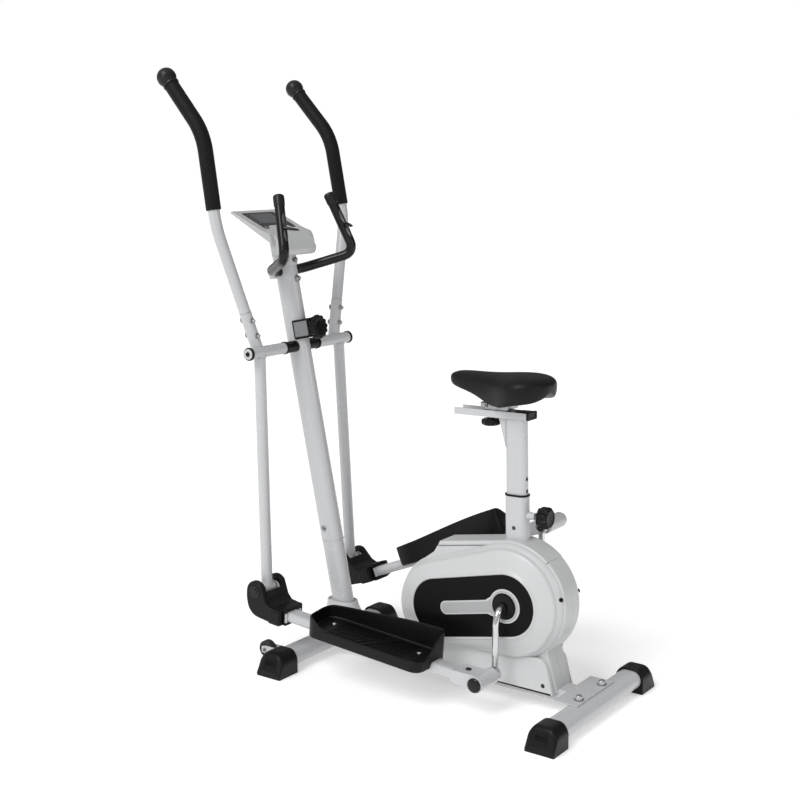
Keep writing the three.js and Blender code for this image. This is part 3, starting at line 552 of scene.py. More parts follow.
def screw_in_shaded_pocket(name, where, centre, direction, radius, body, look="black_plastic"):
    """A screw head down inside a pocket, drawn as one dark piece: the head's dark is its own colour and the
    pocket's dark is painted shade.
    """
    profile = [(-1, radius * 0.4), (0.2, radius * 1.1), (0.5, radius), (0.5, radius * 0.75),
               (0.1, radius * 0.62), (0.1, radius * 0.3), (-0.3, 0.05)]
    turned(name, where, centre, direction, profile, body, "steel", look=look, count=24)


# ---- Base ----

STAB_TOP = 55.0
FOOT_SLOPE = math.radians(20)
FLOOR_NUT_X, NUT_WASHER = 56.0, 1.9


def stabilizer_y(node):
    low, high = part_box(node)
    return (low.y + high.y) / 2 / MM - REAR_Y


REAR_STAB_Y = stabilizer_y("rear_stabilizer")
FRONT_STAB_Y = stabilizer_y("front_foot_left")


def make_foot(end, name, side, middle):
    """An arched rubber shoe: a short upright toe, a steep sloped face with a slot, then a rounded top."""
    low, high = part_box(f"{end}_foot_{name}")
    outer = max(abs(low.x), abs(high.x)) / MM
    inner = min(abs(low.x), abs(high.x)) / MM
    width = (high.y - low.y) / MM / 2
    top = high.z / MM
    where = space(REAR_Y + middle, 0, side=side)

    def arch(crown):
        points = [(-width, 0, 1.5), (width, 0, 1.5), (width, crown * 0.66, 8), (width * 0.64, crown, 13),
                  (-width * 0.64, crown, 13), (-width, crown * 0.66, 8)]
        return rounded(points, count=7)

    # (distance in from the outer end, crown height, scale of the width)
    depth = outer - inner
    stations = [(depth, top - 1.2, 0.975), (depth - 0.7, top - 0.3, 0.99), (depth - 2.2, top, 1),
                (30, top, 1), (21, top - 0.8, 1), (16.5, top - 3, 1), (14, 54, 1), (12.6, 51, 1), (6, 33, 1),
                (1.2, 19.5, 1), (0.5, 17.4, 1), (0.1, 16, 0.992), (0, 15.2, 0.98)]
    rings = [[(outer - back, y * scale, z) for y, z in arch(crown)] for back, crown, scale in stations]
    shoe = loft(f"{end}_shoe_{name}", rings, where, "frame", "black_plastic", angle=32)
    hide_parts(f"{end}_foot_{name}")
    face = where @ Matrix.Translation((outer - 6.6, 0, 35.5)) @ Matrix.Rotation(-FOOT_SLOPE, 4, "Y")
    rim = oblong(-16, 16, -9, 9, 2)
    hole = oblong(-13, 13, -6, 6, 1)
    slab(f"{end}_shoe_rim_{name}", face, "x", rim, -4, 1.6, "frame", "black_plastic", bevel=0.9, holes=[hole])
    # The slot's floor takes the darker, duller panel black as painted shade at the bottom of the slot.
    slab(f"{end}_shoe_shaded_pocket_{name}", face, "x", hole, -4, 0.25, "frame", "black_plastic", bevel=0.1,
         look="panel_black")


def make_wheel(name, side):
    low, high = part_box(f"transport_wheel_{name}")
    radius = (high.z - low.z) / MM / 2
    middle = Vector((abs(low.x + high.x) / 2, (low.y + high.y) / 2, (low.z + high.z) / 2)) / MM
    middle.y -= REAR_Y
    half = (high.x - low.x) / MM / 2
    where = MACHINE_SIDE[side]
    flank = [(half, 4.6), (half, radius * 0.42), (half - 2.5, radius * 0.5), (half - 2.5, radius * 0.72),
             (half, radius * 0.8), (half - 0.4, radius - 1.6), (half - 2.4, radius), (1.2, radius),
             (0.7, radius - 0.9)]
    profile = [(-along, reach) for along, reach in flank] + flank[::-1]
    tyre = turned(f"wheel_tyre_{name}", where, middle, ACROSS, profile, f"wheel_{name}", "wheel_rubber",
                  count=48)
    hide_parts(f"transport_wheel_{name}")
    tip = middle + Vector((half + 3.6, 0, 0))
    hex_bolt(f"wheel_bolt_{name}", where, tip, ACROSS, 5.5, "frame")


def make_base():
    for node in ("rear_stabilizer", "front_stabilizer", "main_beam", "post_stub"):
        refined(node, "frame", "white_paint", 0.9)
    for name, side in SIDES:
        make_foot("rear", name, side, REAR_STAB_Y)
        make_foot("front", name, side, FRONT_STAB_Y)
        make_wheel(name, side)
        nut_z = STAB_TOP + 4.1
        for end, y in (("rear", REAR_STAB_Y + 8), ("front", FRONT_STAB_Y - 8)):
            washer = ring_profile(0, NUT_WASHER, 3, 11.2, 0.5, 0.7)
            spot = Vector((FLOOR_NUT_X, y, nut_z))
            turned(f"{end}_nut_washer_{name}", MACHINE_SIDE[side], spot, UP, washer, "frame", "steel")
            dome(f"{end}_nut_{name}", MACHINE_SIDE[side], spot + Vector((0, 0, NUT_WASHER)), UP, 7.4, 11,
                 "frame", "steel", rim=0.5)


# ---- Post, axle and tension ----


def make_boot():
    stations = ((63, 76, 118, 764), (66, 77, 119, 764), (90, 76, 117, 764), (104, 73, 112, 764.5),
                (114, 67, 103, 765), (124, 61, 94, 766), (134, 57.5, 88, 767), (140, 56, 86, 768),
                (142.5, 54, 84, 768), (143, 51, 80, 768), (138, 47, 73, 768))
    rings = []
    for z, width, length, middle in stations:
        rings.append([(x, y, z) for x, y in capsule(width, length, 0, middle)])
    boot = loft("boot_shell", rings, MACHINE, "frame", "white_plastic")
    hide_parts("post_boot")


def make_post():
    low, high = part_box("front_post")
    length = (high.z - low.z) / MM / math.cos(LEAN) - POST_DEPTH * math.tan(LEAN)
    section = capsule(POST_WIDTH, POST_DEPTH)
    tube = swept("post_tube", POST, straight((0, 0, 0), (0, 0, length), 3), section, "frame",
                 "white_paint", ends=1.2)
    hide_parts("front_post")
    seam = capsule(POST_WIDTH + 0.6, POST_DEPTH + 0.6)
    swept("post_seam", POST, straight((0, 0, -3.4), (0, 0, 0.2)), seam, "frame", "white_paint", ends=1.0)
    for name, side in SIDES:
        dome(f"seam_dimple_{name}", POST, (9 * side, -POST_DEPTH / 2 + 2.4, -1.5), BACK, 2.0, 1.2,
             "frame", "white_paint")
    for label, z in (("upper", 724), ("lower", 676)):
        centre = (0, -POST_DEPTH / 2 + 0.1, z)
        hex_bolt(f"neck_bolt_{label}", POST, centre, BACK, 8.5, "frame")
    for name, side in SIDES:
        hex_bolt(f"stub_bolt_{name}", POST, (side * POST_WIDTH / 2, 6, 32), (side, 0, 0), 6.5, "frame")


def make_axle():
    repaint("pivot_axle", "steel")
    for name, side in SIDES:
        low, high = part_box(f"axle_bush_{name}")
        inner, outer = sorted((abs(low.x) / MM, abs(high.x) / MM))
        radius = (high.z - low.z) / MM / 2
        length = outer - inner
        profile = [(0, 9), (0, radius - 1), (1, radius), (length - 7, radius), (length - 6.4, radius + 1.6),
                   (length - 1.2, radius + 1.6), (length - 0.2, radius + 0.8), (length - 0.2, 9)]
        bush = turned(f"axle_sleeve_{name}", space(AXLE.x, AXLE.y, side=side), (inner, 0, 0), ACROSS,
                      profile, "frame", "black_plastic")
        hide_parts(f"axle_bush_{name}")


TENSION_Z = 546.0


def make_tension():
    back = -POST_DEPTH / 2
    half = POST_WIDTH / 2 + 3
    block = oblong(-half, half, back - 32, back + 24, 5, 4)
    case = slab("tension_case", POST, "z", block, TENSION_Z - 23, TENSION_Z + 26, "frame",
                "black_plastic", bevel=2.0)
    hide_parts("tension_housing")
    for name, side in SIDES:
        where = POST @ Matrix.Diagonal((side, 1, 1, 1))
        border = oblong(back - 29, back + 22, TENSION_Z - 21, TENSION_Z + 24, 3)
        window = offset(border, 3.2)
        slab(f"tension_rim_{name}", where, "x", border, half - 1, half + 1.6, "frame",
             "black_plastic", bevel=0.7, holes=[window])
        slab(f"tension_plate_{name}", where, "x", window, half - 1, half + 0.7, "frame", "steel", bevel=0.4,
             look="plate_silver")
    face = back - 32
    profile = [(0.6, 8), (0.6, 21), (1.6, 27), (3.5, 30), (6, 30.8), (14, 30.8), (16.8, 29.6), (18.6, 26.6),
               (19, 23), (18.2, 21.4), (17.4, 19), (17.2, 9), (17.2, 0.05)]
    knob = turned("tension_grip", POST, (0, face, TENSION_Z), BACK, profile, "tension_knob",
                  "black_plastic", count=168, lobes=12, depth=4.0)
    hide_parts("tension_knob")
    diamond = rounded([(0, -14, 1.5), (12, 0, 3), (0, 14, 1.5), (-12, 0, 3)])
    inner_diamond = offset(diamond, 2.6)
    place = POST @ Matrix.Translation((0, face - 17.2, TENSION_Z))
    slab("tension_mark", place, "y", diamond, -1.6, 1.0, "tension_knob", "black_plastic", bevel=0.4,
         holes=[inner_diamond], look="gloss_black")


# ---- Fixed handlebar and console ----

BAR_RADIUS = 12.7
BAR_CROSS = (56.3, 950.6, 985.0)
BAR_CORNER = (139.6, 828.3, 1029.7)
BAR_TIP = (98.8, 880.8, 1178.0)


def make_handlebar():
    mirror = [(-x, y, z) for x, y, z in (BAR_TIP, BAR_CORNER, BAR_CROSS)]
    path = bent([*mirror, BAR_CROSS, BAR_CORNER, BAR_TIP], 34, 12)
    grip = swept("handlebar_tube", MACHINE, path, circle(BAR_RADIUS), "frame", "gloss_black", ends=2.0,
                 upright=(0, 1, 0))
    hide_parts("fixed_handlebar")
    corner, tip = Vector(BAR_CORNER), Vector(BAR_TIP)
    along = (tip - corner).normalized()
    rearwards = Vector((0, -1, 0.1))
    rearwards = (rearwards - along * rearwards.dot(along)).normalized()
    for name, side in SIDES:
        where = MACHINE_SIDE[side]
        sheath = [(-26, BAR_RADIUS + 0.1), (-25.2, 13.6), (-24, 14.0), (-4, 14.2), (0, 13.6), (2.4, 11.6),
                  (3.8, 8.5), (4.5, 4), (4.6, 0.05)]
        turned(f"handlebar_cap_{name}", where, tip, along, sheath, "frame", "gloss_black",
               look="ball_plastic")
        make_sensor(name, where, corner, along, rearwards)


def make_sensor(name, where, corner, along, rearwards):
    """Two curved sensor plates on the rider's side of a grip, with a small lever between them."""
    across = along.cross(rearwards)
    count = 18

    def plate(label, start, end, spread, reach, look):
        rings = []
        for k in range(count + 1):
            t = k / count
            taper = math.sin(math.pi * min(1.0, max(0.02, t))) ** 0.45
            width = spread * taper
            centre = corner + along * (start + (end - start) * t)
            outer, inner = [], []
            for i in range(13):
                angle = width * (i / 6 - 1)
                direction = rearwards * math.cos(angle) + across * math.sin(angle)
                lift = reach * math.cos(math.pi / 2 * (i / 6 - 1)) ** 0.5 if 0 < i < 12 else 0.0
                outer.append(centre + direction * (BAR_RADIUS + 0.1 + lift * taper))
                inner.append(centre + direction * (BAR_RADIUS - 1.5))
            rings.append(outer + inner[::-1])
        return loft(f"sensor_{label}_{name}", rings, where, "frame", "sensor_chrome", look=look)

    lower = plate("lower", 42, 74, 0.62, 1.1, "sensor_chrome")
    plate("upper", 78, 116, 0.62, 1.1, "sensor_chrome")
    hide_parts(f"pulse_grip_{name}")
    root = corner + along * 76 + rearwards * (BAR_RADIUS - 1)
    sections = ((0, 7.5, 4.2), (8, 7, 3.8), (18, 6, 3.2), (26, 4.4, 2.2), (29, 2.2, 1.2))
    rings = []
    for reach, width, height in sections:
        middle = root + rearwards * reach - along * reach * 0.35 - across * reach * 0.5
        section = oblong(-1, 1, -1, 1, 0.5, count=3)
        rings.append([middle + across * u * width + along * v * height for u, v in section])
    loft(f"sensor_lever_{name}", rings, where, "frame", "gloss_black")


SCREEN_Y, SCREEN_Z = 1003.5, 1115.0
SCREEN_TILT = math.atan2(1137 - 1093, 1052 - 955)


def make_console():
    wedge = rounded([(1055, 1132.5, 2), (1052, 1137, 2), (955, 1093.5, 12), (925, 1085, 8), (915, 1056, 6)])
    shell = slab("console_wedge", MACHINE, "x", wedge, -85, 85, "frame", "white_plastic", bevel=2.6)
    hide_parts("console_housing")
    chin = rounded([(955, 1094, 8), (934, 1090, 10), (912, 1072, 14), (897, 1046, 10), (901, 1032, 6),
                    (910, 1027, 5), (932, 1027, 4), (938, 1070, 4)])
    slab("console_chin", MACHINE, "x", chin, -71, 71, "frame", "white_plastic", bevel=5)
    for label, y, z in (("upper", 916, 1071.5), ("lower", 901.5, 1045.5)):
        seam = straight((-66, y, z), (66, y, z))
        swept(f"console_seam_{label}", MACHINE, seam, circle(0.9, count=12), "frame", "white_plastic",
              look="grey_plastic", ends=0.3, upright=(0, 1, 0))
    neck_rings = []
    for z, width, length, y in ((1003, 43, 64, 944.5), (1004.5, 45, 66, 945), (1024, 46.5, 67, 949.5),
                                (1046, 48, 68, 954), (1072, 52, 70, 958)):
        neck_rings.append([(u, v, z) for u, v in capsule(width, length, 0, y)])
    loft("console_neck", neck_rings, MACHINE, "frame", "white_plastic")

    face = space(REAR_Y + SCREEN_Y, SCREEN_Z, SCREEN_TILT)
    lobed = [(61, 38, 2), (61, -50.5, 8), (42, -50.5, 8), (38, -37, 7), (26, -33.5, 9)]
    bezel = rounded([(-x, y, radius) for x, y, radius in lobed] + lobed[::-1])
    screen = slab("console_bezel", face, "z", bezel, -1.2, 0.9, "frame", "screen", bevel=0.5)
    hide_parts("console_screen")
    window = rounded([(-41, 30, 2), (-41, -22, 2), (41, -22, 2), (41, 30, 2)])
    slab("console_window", face, "z", window, 0.2, 1.25, "frame", "screen", bevel=0.3, look="screen_glass")
    for row in range(5):
        mark = oblong(-3.6, 3.6, -2.6, 2.6, 0.8)
        place = face @ Matrix.Translation((-50.5, 26 - row * 11.5, 0))
        slab(f"console_mark_{row}", place, "z", mark, 0.4, 1.15, "frame", "screen", bevel=0.2,
             holes=[offset(mark, 0.8)], look="button_grey")
    button_low, button_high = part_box("console_button")
    centre = face.inverted() @ ((button_low + button_high) / 2)
    button = turned("console_key", face, (centre.x, centre.y, -1.4), UP,
                    [(0, 2), (0, 5.2), (2.4, 5.2), (3.1, 4.6), (3.3, 3.4), (2.9, 2), (2.9, 0.05)],
                    "console_button", "button_grey")
    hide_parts("console_button")
    bracket = oblong(-24, 24, -16, 16, 5)
    cross = POST.inverted() @ (MACHINE @ Vector((0, BAR_CROSS[1], BAR_CROSS[2])))
    place = POST @ Matrix.Translation((0, cross.y, cross.z))
    slab("handlebar_clamp", place, "y", bracket, 14, 34, "frame", "white_paint", bevel=4)


# ---- Drive covers ----

REAR_CENTRE = CRANK - Vector((REAR_Y, 0)) + Vector((0, 5))
FRONT_CENTRE = FLYWHEEL - Vector((REAR_Y, 0))
SLOPE = math.radians(-10)
SQUARE = SLOPE + math.pi / 2
COVER_END = math.radians(131)
SKIRT_X, FOOT_X, FACE_X = 36.0, 49.5, 75.0
REAR_RADIUS, FRONT_RADIUS, RIDGE, SKIRT_BOTTOM = 145.0, 123.0, 12.0, 48.0
PANEL_REAR, PANEL_FRONT = Vector((231.0, 251.0)), Vector((420.0, 208.5))
CREASE = 118.0


def arc(centre, radius, start, end, count=36):
    turns = [start + (end - start) * i / count for i in range(count + 1)]
    return [(centre[0] + radius * math.cos(a), centre[1] + radius * math.sin(a)) for a in turns]


def loop(rear_radius, front_radius, rear=None, front=None):
    """Two round ends joined by straight runs."""
    rear, front = Vector(rear or REAR_CENTRE), Vector(front or FRONT_CENTRE)
    apart = front - rear
    slope = math.atan2(apart.y, apart.x)
    tangent = math.acos((rear_radius - front_radius) / apart.length)
    back = arc(rear, rear_radius, slope + tangent, slope - tangent + 2 * math.pi, 56)
    return back + arc(front, front_radius, slope - tangent, slope + tangent, 44)


def shell_outline():
    top = REAR_RADIUS - RIDGE
    ridge_end = REAR_CENTRE + Vector((math.cos(SQUARE), math.sin(SQUARE))) * top
    run = 452 - ridge_end.x
    points = [(111, SKIRT_BOTTOM), (141, 145)]
    points += arc(REAR_CENTRE, REAR_RADIUS, math.radians(227), COVER_END)
    points += arc(REAR_CENTRE, top, COVER_END, SQUARE, 16)
    points += [(ridge_end.x + run, ridge_end.y + run * math.tan(SLOPE)), (461, 332)]
    points += arc(FRONT_CENTRE, FRONT_RADIUS, math.radians(62), math.radians(-28), 24)
    return points + [(512, SKIRT_BOTTOM)]


KEY_HUB, KEY_TIP, KEY_HOLE = Vector((233.5, 249.5)), Vector((411.0, 211.0)), (235, 248.7)


def key_outline(radius, half, longer, end_radius):
    """A ring round the hub with a bar reaching forward along the panel."""
    along = (KEY_TIP - KEY_HUB).normalized()
    across = Vector((-along.y, along.x))
    opening = math.asin(half / radius) + 0.22
    base = math.atan2(along.y, along.x)
    round_part = arc(KEY_HUB, radius, base + opening, base - opening + 2 * math.pi, 48)
    neck = KEY_HUB + along * radius * 1.22
    end = []
    middle = KEY_HUB + along * ((KEY_TIP - KEY_HUB).length + longer - end_radius)
    for i in range(13):
        angle = -math.pi / 2 + math.pi * i / 12
        end.append(tuple(middle + along * end_radius * math.cos(angle) + across * half * math.sin(angle)))
    return round_part + [tuple(neck - across * half)] + end + [tuple(neck + across * half)]


# (rear radius, front radius, distance from the middle, share of the way to the panel's centres)
FACE_SHOULDER = ((141, 119.5, 30, 0), (141, 119.5, 34, 0), (140, 118.5, 38, 0), (137.5, 116.5, 42.5, 0),
                 (134, 114.5, 46.5, 0), (131.2, 112.6, 49, 0))
FACE_STEP = ((130, 111.8, 50.5, 0), (129.4, 111.4, 53, 0), (128.6, 110.8, 56, 0), (126.8, 109.4, 58.4, 0),
             (124, 107.2, 60, 0), (121, 104.8, 61.2, 0))
FACE_SLOPE = ((108, 98, 65.4, 0.4), (94, 89, 69.8, 0.8), (85, 82, 72.4, 1), (81.4, 78.6, 73.6, 1))
FACE_LIP = ((80.4, 77.8, 74.8, 1), (79, 76.4, 76.2, 1), (77, 74.4, 76.8, 1), (75.2, 72.6, 76.4, 1),
            (74, 71.5, 75.2, 1))
FACE_WELL = ((73.6, 71.1, 73, 1), (73.6, 71.1, 56, 1))
FACE_RINGS = FACE_SHOULDER + FACE_STEP + FACE_SLOPE + FACE_LIP + FACE_WELL


COVER_SCREWS = (
    ("back", (42.5, 103.5, 281), (0.8, -0.55, 0.15)), ("foot", (FOOT_X + 0.1, 143, 67), ACROSS),
    ("front", (42.5, 546, 199), (0.8, 0.6, 0)), ("toe", (FOOT_X + 0.1, 478, 66), ACROSS),
)


def face_ring(rear_radius, front_radius, x, share):
    """One ring of the face, cut flat a little above the crease where the ring is a small one."""
    rear = REAR_CENTRE.lerp(PANEL_REAR, share)
    front = FRONT_CENTRE.lerp(PANEL_FRONT, share)
    lowest = CREASE + min(6.0, max(0.0, 130 - rear_radius) * 0.35)
    return [(x, y, max(z, lowest)) for y, z in loop(rear_radius, front_radius, rear, front)]


def make_shroud():
    hub_hole = circle(29.5, CRANK.x - REAR_Y, CRANK.y)
    for name, side in SIDES:
        where = MACHINE_SIDE[side]
        shell = slab(f"cover_shell_{name}", where, "x", shell_outline(), 0.25, SKIRT_X, "frame",
                     "white_plastic", bevel=7, bevel_low=0.3)
        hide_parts(f"shroud_{name}")
        face = [face_ring(*measures) for measures in FACE_RINGS]
        loft(f"cover_face_{name}", face, where, "frame", "white_plastic", angle=55, weighted=False)
        foot = rounded([(116, 46.5, 2), (510, 46.5, 2), (520, 108, 8), (500, 130, 10), (150, 130, 12),
                        (135, 116, 10)])
        slab(f"cover_foot_{name}", where, "x", foot, 20, FOOT_X, "frame", "white_plastic", bevel=5,
             bevel_low=0.5)
        panel = slab(f"panel_skin_{name}", where, "x", loop(73.4, 70.9, PANEL_REAR, PANEL_FRONT), FACE_X - 4,
                     FACE_X + 0.6, "frame", "panel_black", bevel=0.5, holes=[hub_hole])
        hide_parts(f"side_panel_{name}")
        well = [(57, 28.9), (57, 30.6), (75.4, 30.6), (75.9, 30.2), (75.9, 29.3), (75.4, 28.9)]
        turned(f"panel_well_{name}", space(CRANK.x, CRANK.y, side=side), (0, 0, 0), ACROSS, well, "frame",
               "black_plastic", count=64)
        outer_key = key_outline(41, 16.5, 0, 15)
        slab(f"panel_key_{name}", where, "x", outer_key, FACE_X - 2, FACE_X + 2.3, "frame", "white_plastic",
             bevel=0.8, holes=[circle(32, *KEY_HOLE)])
        inner_key = key_outline(37, 13.2, -3.5, 12)
        slab(f"panel_fill_{name}", where, "x", inner_key, FACE_X - 2, FACE_X + 2.7, "frame", "white_plastic",
             bevel=0.4, holes=[circle(33.5, *KEY_HOLE)], look="grey_plastic")
        # The cover screws' pockets take the darkest black: painted shade in the recesses of the white cover.
        for label, centre, way in COVER_SCREWS:
            screw_in_shaded_pocket(f"cover_screw_{label}_{name}", where, centre, way, 4.6, "frame", look="panel_black")
        make_hub(name, where)
    make_top_cover()


def make_hub(name, where):
    centre = (61, CRANK.x - REAR_Y, CRANK.y)
    profile = [(0, 10), (0, 27.6), (1, 28.5), (4.6, 28.5), (5.8, 27.6), (6.0, 25), (4.4, 23.6), (4.2, 14),
               (5.4, 13), (5.6, 11.5), (3.4, 10)]
    disc = turned(f"hub_cap_{name}", where, centre, ACROSS, profile, "crank", "black_plastic", count=56)
    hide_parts(f"hub_disc_{name}")


def make_top_cover():
    outer, inner = REAR_RADIUS, REAR_RADIUS - RIDGE + 0.6
    direction = Vector((math.cos(SQUARE), math.sin(SQUARE)))
    outer_end, inner_end = REAR_CENTRE + direction * outer, REAR_CENTRE + direction * inner
    points = arc(REAR_CENTRE, outer, COVER_END - 0.004, SQUARE, 28)
    points += [(443, outer_end.y + (443 - outer_end.x) * math.tan(SLOPE)),
               (449, inner_end.y + (449 - inner_end.x) * math.tan(SLOPE))]
    points += arc(REAR_CENTRE, inner, SQUARE, COVER_END - 0.004, 28)
    cover = slab("cover_ridge", MACHINE, "x", points, -SKIRT_X, SKIRT_X, "frame", "white_plastic", bevel=4)
    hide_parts("shroud_top_cover")


# ---- Drive ----


def make_drive():
    for node, slot in (("crank_pulley", "black_plastic"), ("drive_belt", "belt_rubber"),
                       ("flywheel", "cast_iron"), ("flywheel_axle", "steel"), ("magnet_bracket", "steel")):
        repaint(node, slot)
    rod, arm_x = 8.0, 105.0
    y, z = CRANK.x - REAR_Y, CRANK.y
    path = bent([(-arm_x, y, z - CRANK_RADIUS), (-arm_x + 2, y, z - 30), (-90, y, z), (90, y, z),
                 (arm_x - 2, y, z + 30), (arm_x, y, z + CRANK_RADIUS)], 16, 12)
    bar = swept("crank_rod", MACHINE, path, circle(rod, count=32), "crank", "chrome", ends=2,
                upright=(0, 1, 0))
    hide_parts("crank")
    for name, side in SIDES:
        where = space(CRANK.x, CRANK.y + side * CRANK_RADIUS, side=side)
        eye = ring_profile(97, 113, 6, CRANK_BOSS, 1.5)
        turned(f"crank_eye_{name}", where, (0, 0, 0), ACROSS, eye, "crank", "chrome")
        hex_bolt(f"crank_nut_{name}", where, (97, 0, 0), (-1, 0, 0), 8, "crank", look="ball_plastic")
        axle = space(CRANK.x, CRANK.y, side=side)
        collar = ring_profile(76, 81, 8.2, 12.4, 1, 0.9)
        turned(f"crank_collar_{name}", axle, (0, 0, 0), ACROSS, collar, "crank", "black_plastic")


# ---- Seat ----


def make_seat():
    refined("seat_tube", "frame", "white_paint", 0.8)
    refined("seat_post", "seat_post", "white_paint", 0.6)
    refined("saddle_carriage", "saddle", "steel", 0.8)
    rim = capsule(38.6, 62.6)
    slab("sleeve_gasket", SEAT, "z", rim, 86.5, 91.5, "frame", "black_plastic", bevel=1.6,
         holes=[capsule(31.6, 55.6)])
    for name, side in SIDES:
        # The dark pockets round the sleeve screws are painted shade in the white sleeve.
        screw_in_shaded_pocket(f"sleeve_screw_{name}", SEAT, (18 * side, 0, 12), (side, 0, 0), 4.4, "frame")
    make_channel_plug()
    make_post_knob()
    make_saddle_knob()
    make_saddle()


def make_channel_plug():
    """A hollow-faced plug in the rear end of the saddle channel, with a short lid over the channel."""
    slab("channel_plug_lid", SEAT, "z", oblong(-17, 17, -38, -6, 1, 4), SEAT_TOP + 10, SEAT_TOP + 17.5,
         "seat_post", "black_plastic", bevel=1.2)
    plug = oblong(-20.6, 20.6, SEAT_TOP - 1, SEAT_TOP + 18, 3)
    hollow = oblong(-13, 13, SEAT_TOP + 4, SEAT_TOP + 14, 2)
    slab("channel_plug", SEAT, "y", plug, -42.5, -35.5, "seat_post", "black_plastic", bevel=1.6,
         holes=[hollow])
    web = oblong(-14, 14, SEAT_TOP + 3, SEAT_TOP + 15, 1)
    slab("channel_plug_web", SEAT, "y", web, -41, -36, "seat_post", "black_plastic", bevel=0.5)


def make_post_knob():
    turned("post_pin_boss", SEAT, (0, -29, PIN_Z), BACK,
           [(0, 9.4), (4, 9.6), (7, 9.2), (9, 8), (9.6, 6.6), (9.6, 4.4)], "frame", "white_paint")
    grip = [(0, 5), (0, 15), (1.2, 18.5), (4, 24.6), (8, 26), (24, 26), (28.5, 24.4), (31, 20.5),
            (31.6, 17.5), (30.4, 16), (30.2, 8), (30.2, 0.05)]
    knob = turned("post_knob_grip", SEAT, (0, -57, PIN_Z), BACK, grip, "post_knob", "black_plastic",
                  count=128, lobes=8, depth=4.6)
    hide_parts("post_lock_knob")
    stem = [(0, 3.9), (11, 3.9), (11.5, 7.2), (18, 7.2), (19, 5.4), (28.5, 5.4)]
    turned("post_knob_stem", SEAT, (0, -29.5, PIN_Z), BACK, stem, "post_knob", "steel", look="chrome")


def make_saddle_knob():
    grip = [(0, 5), (0, 17), (1.4, 20.6), (3.6, 22.6), (6, 23), (11, 23), (14, 21.8), (15.4, 18), (15.8, 10),
            (17, 8.4), (17, 5)]
    knob = turned("saddle_knob_grip", SEAT, (0, KNOB_Y, SEAT_TOP - 22), UP, grip, "saddle_knob",
                  "black_plastic", count=128, lobes=7, depth=3.6)
    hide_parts("saddle_lock_knob")
    turned("saddle_knob_stem", SEAT, (0, KNOB_Y, SEAT_TOP - 8), UP,
           [(0, 3.9), (10.8, 3.9)], "saddle_knob", "steel")


# Each station is distance forward, half width, top height and lower edge height.
SADDLE_STATIONS = (
    (162, 12, 766, 750), (165.5, 29, 773, 741), (174, 48, 779, 732), (191, 67, 784, 725),
    (216, 79, 786.5, 721), (243, 75, 786.5, 715), (267, 63, 785, 708), (290, 50, 783, 706),
    (312, 41, 781.5, 709), (335, 35, 780.5, 719), (360, 31, 780, 729), (385, 29, 779.5, 736),
    (408, 26.5, 778, 741), (423, 20.5, 774, 747), (431, 10, 767, 753),
)


def make_saddle():
    """A crowned seat whose sides roll down to a tucked lower edge."""
    rings = []
    for y, half, top, low in SADDLE_STATIONS:
        middle = low + (top - low) * 0.46
        ring = []
        for i in range(25):
            angle = math.pi * (i / 24 - 0.5)
            x = half * math.copysign(abs(math.sin(angle)) ** 0.82, angle)
            z = middle + (top - middle) * abs(math.cos(angle)) ** 0.62
            ring.append((x, y, z))
        tuck = ((0.985, 0.72), (0.93, 0.42), (0.86, 0.16), (0.77, 0.0), (0.66, 0.06), (0.4, 0.16), (0, 0.2))
        right = [(half * u, y, low + (middle - low) * v) for u, v in tuck]
        left = [(-x, yy, z) for x, yy, z in right[:-1]]
        rings.append(ring + right + left[::-1])
    seat = loft("saddle_cushion", rings, MACHINE, "saddle", "saddle_cover", angle=180, weighted=False)
    fine = seat.modifiers.new("smooth_form", "SUBSURF")
    fine.levels = 2
    fine.render_levels = 2
    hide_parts("saddle")
    base = rounded([(-26, 262, 8), (26, 262, 8), (24, 340, 8), (-24, 340, 8)])
    slab("saddle_base", MACHINE, "z", base, 700, 712, "saddle", "steel", bevel=1.5)
    for name, side in SIDES:
        path = bent([(30, 225, 742), (24, 255, 724), (17, 285, 709), (17, 325, 709)], 10)
        swept(f"saddle_rail_{name}", MACHINE_SIDE[side], path, circle(3.5, count=20), "saddle", "steel",
              look="steel", upright=ACROSS)
    for label, y in (("front", 322), ("rear", 288)):
        hex_bolt(f"saddle_clamp_{label}", MACHINE, (-26, y, 706), (-1, 0, 0), 4.6, "saddle")


# ---- Swing arms ----

TUBE = 14.3
GRIP_RADIUS = 18.4
SLEEVE_START = 67.5


def stub_line(z):
    return (150.6 + 0.343 * z, 10.9 + 0.126 * z, z)


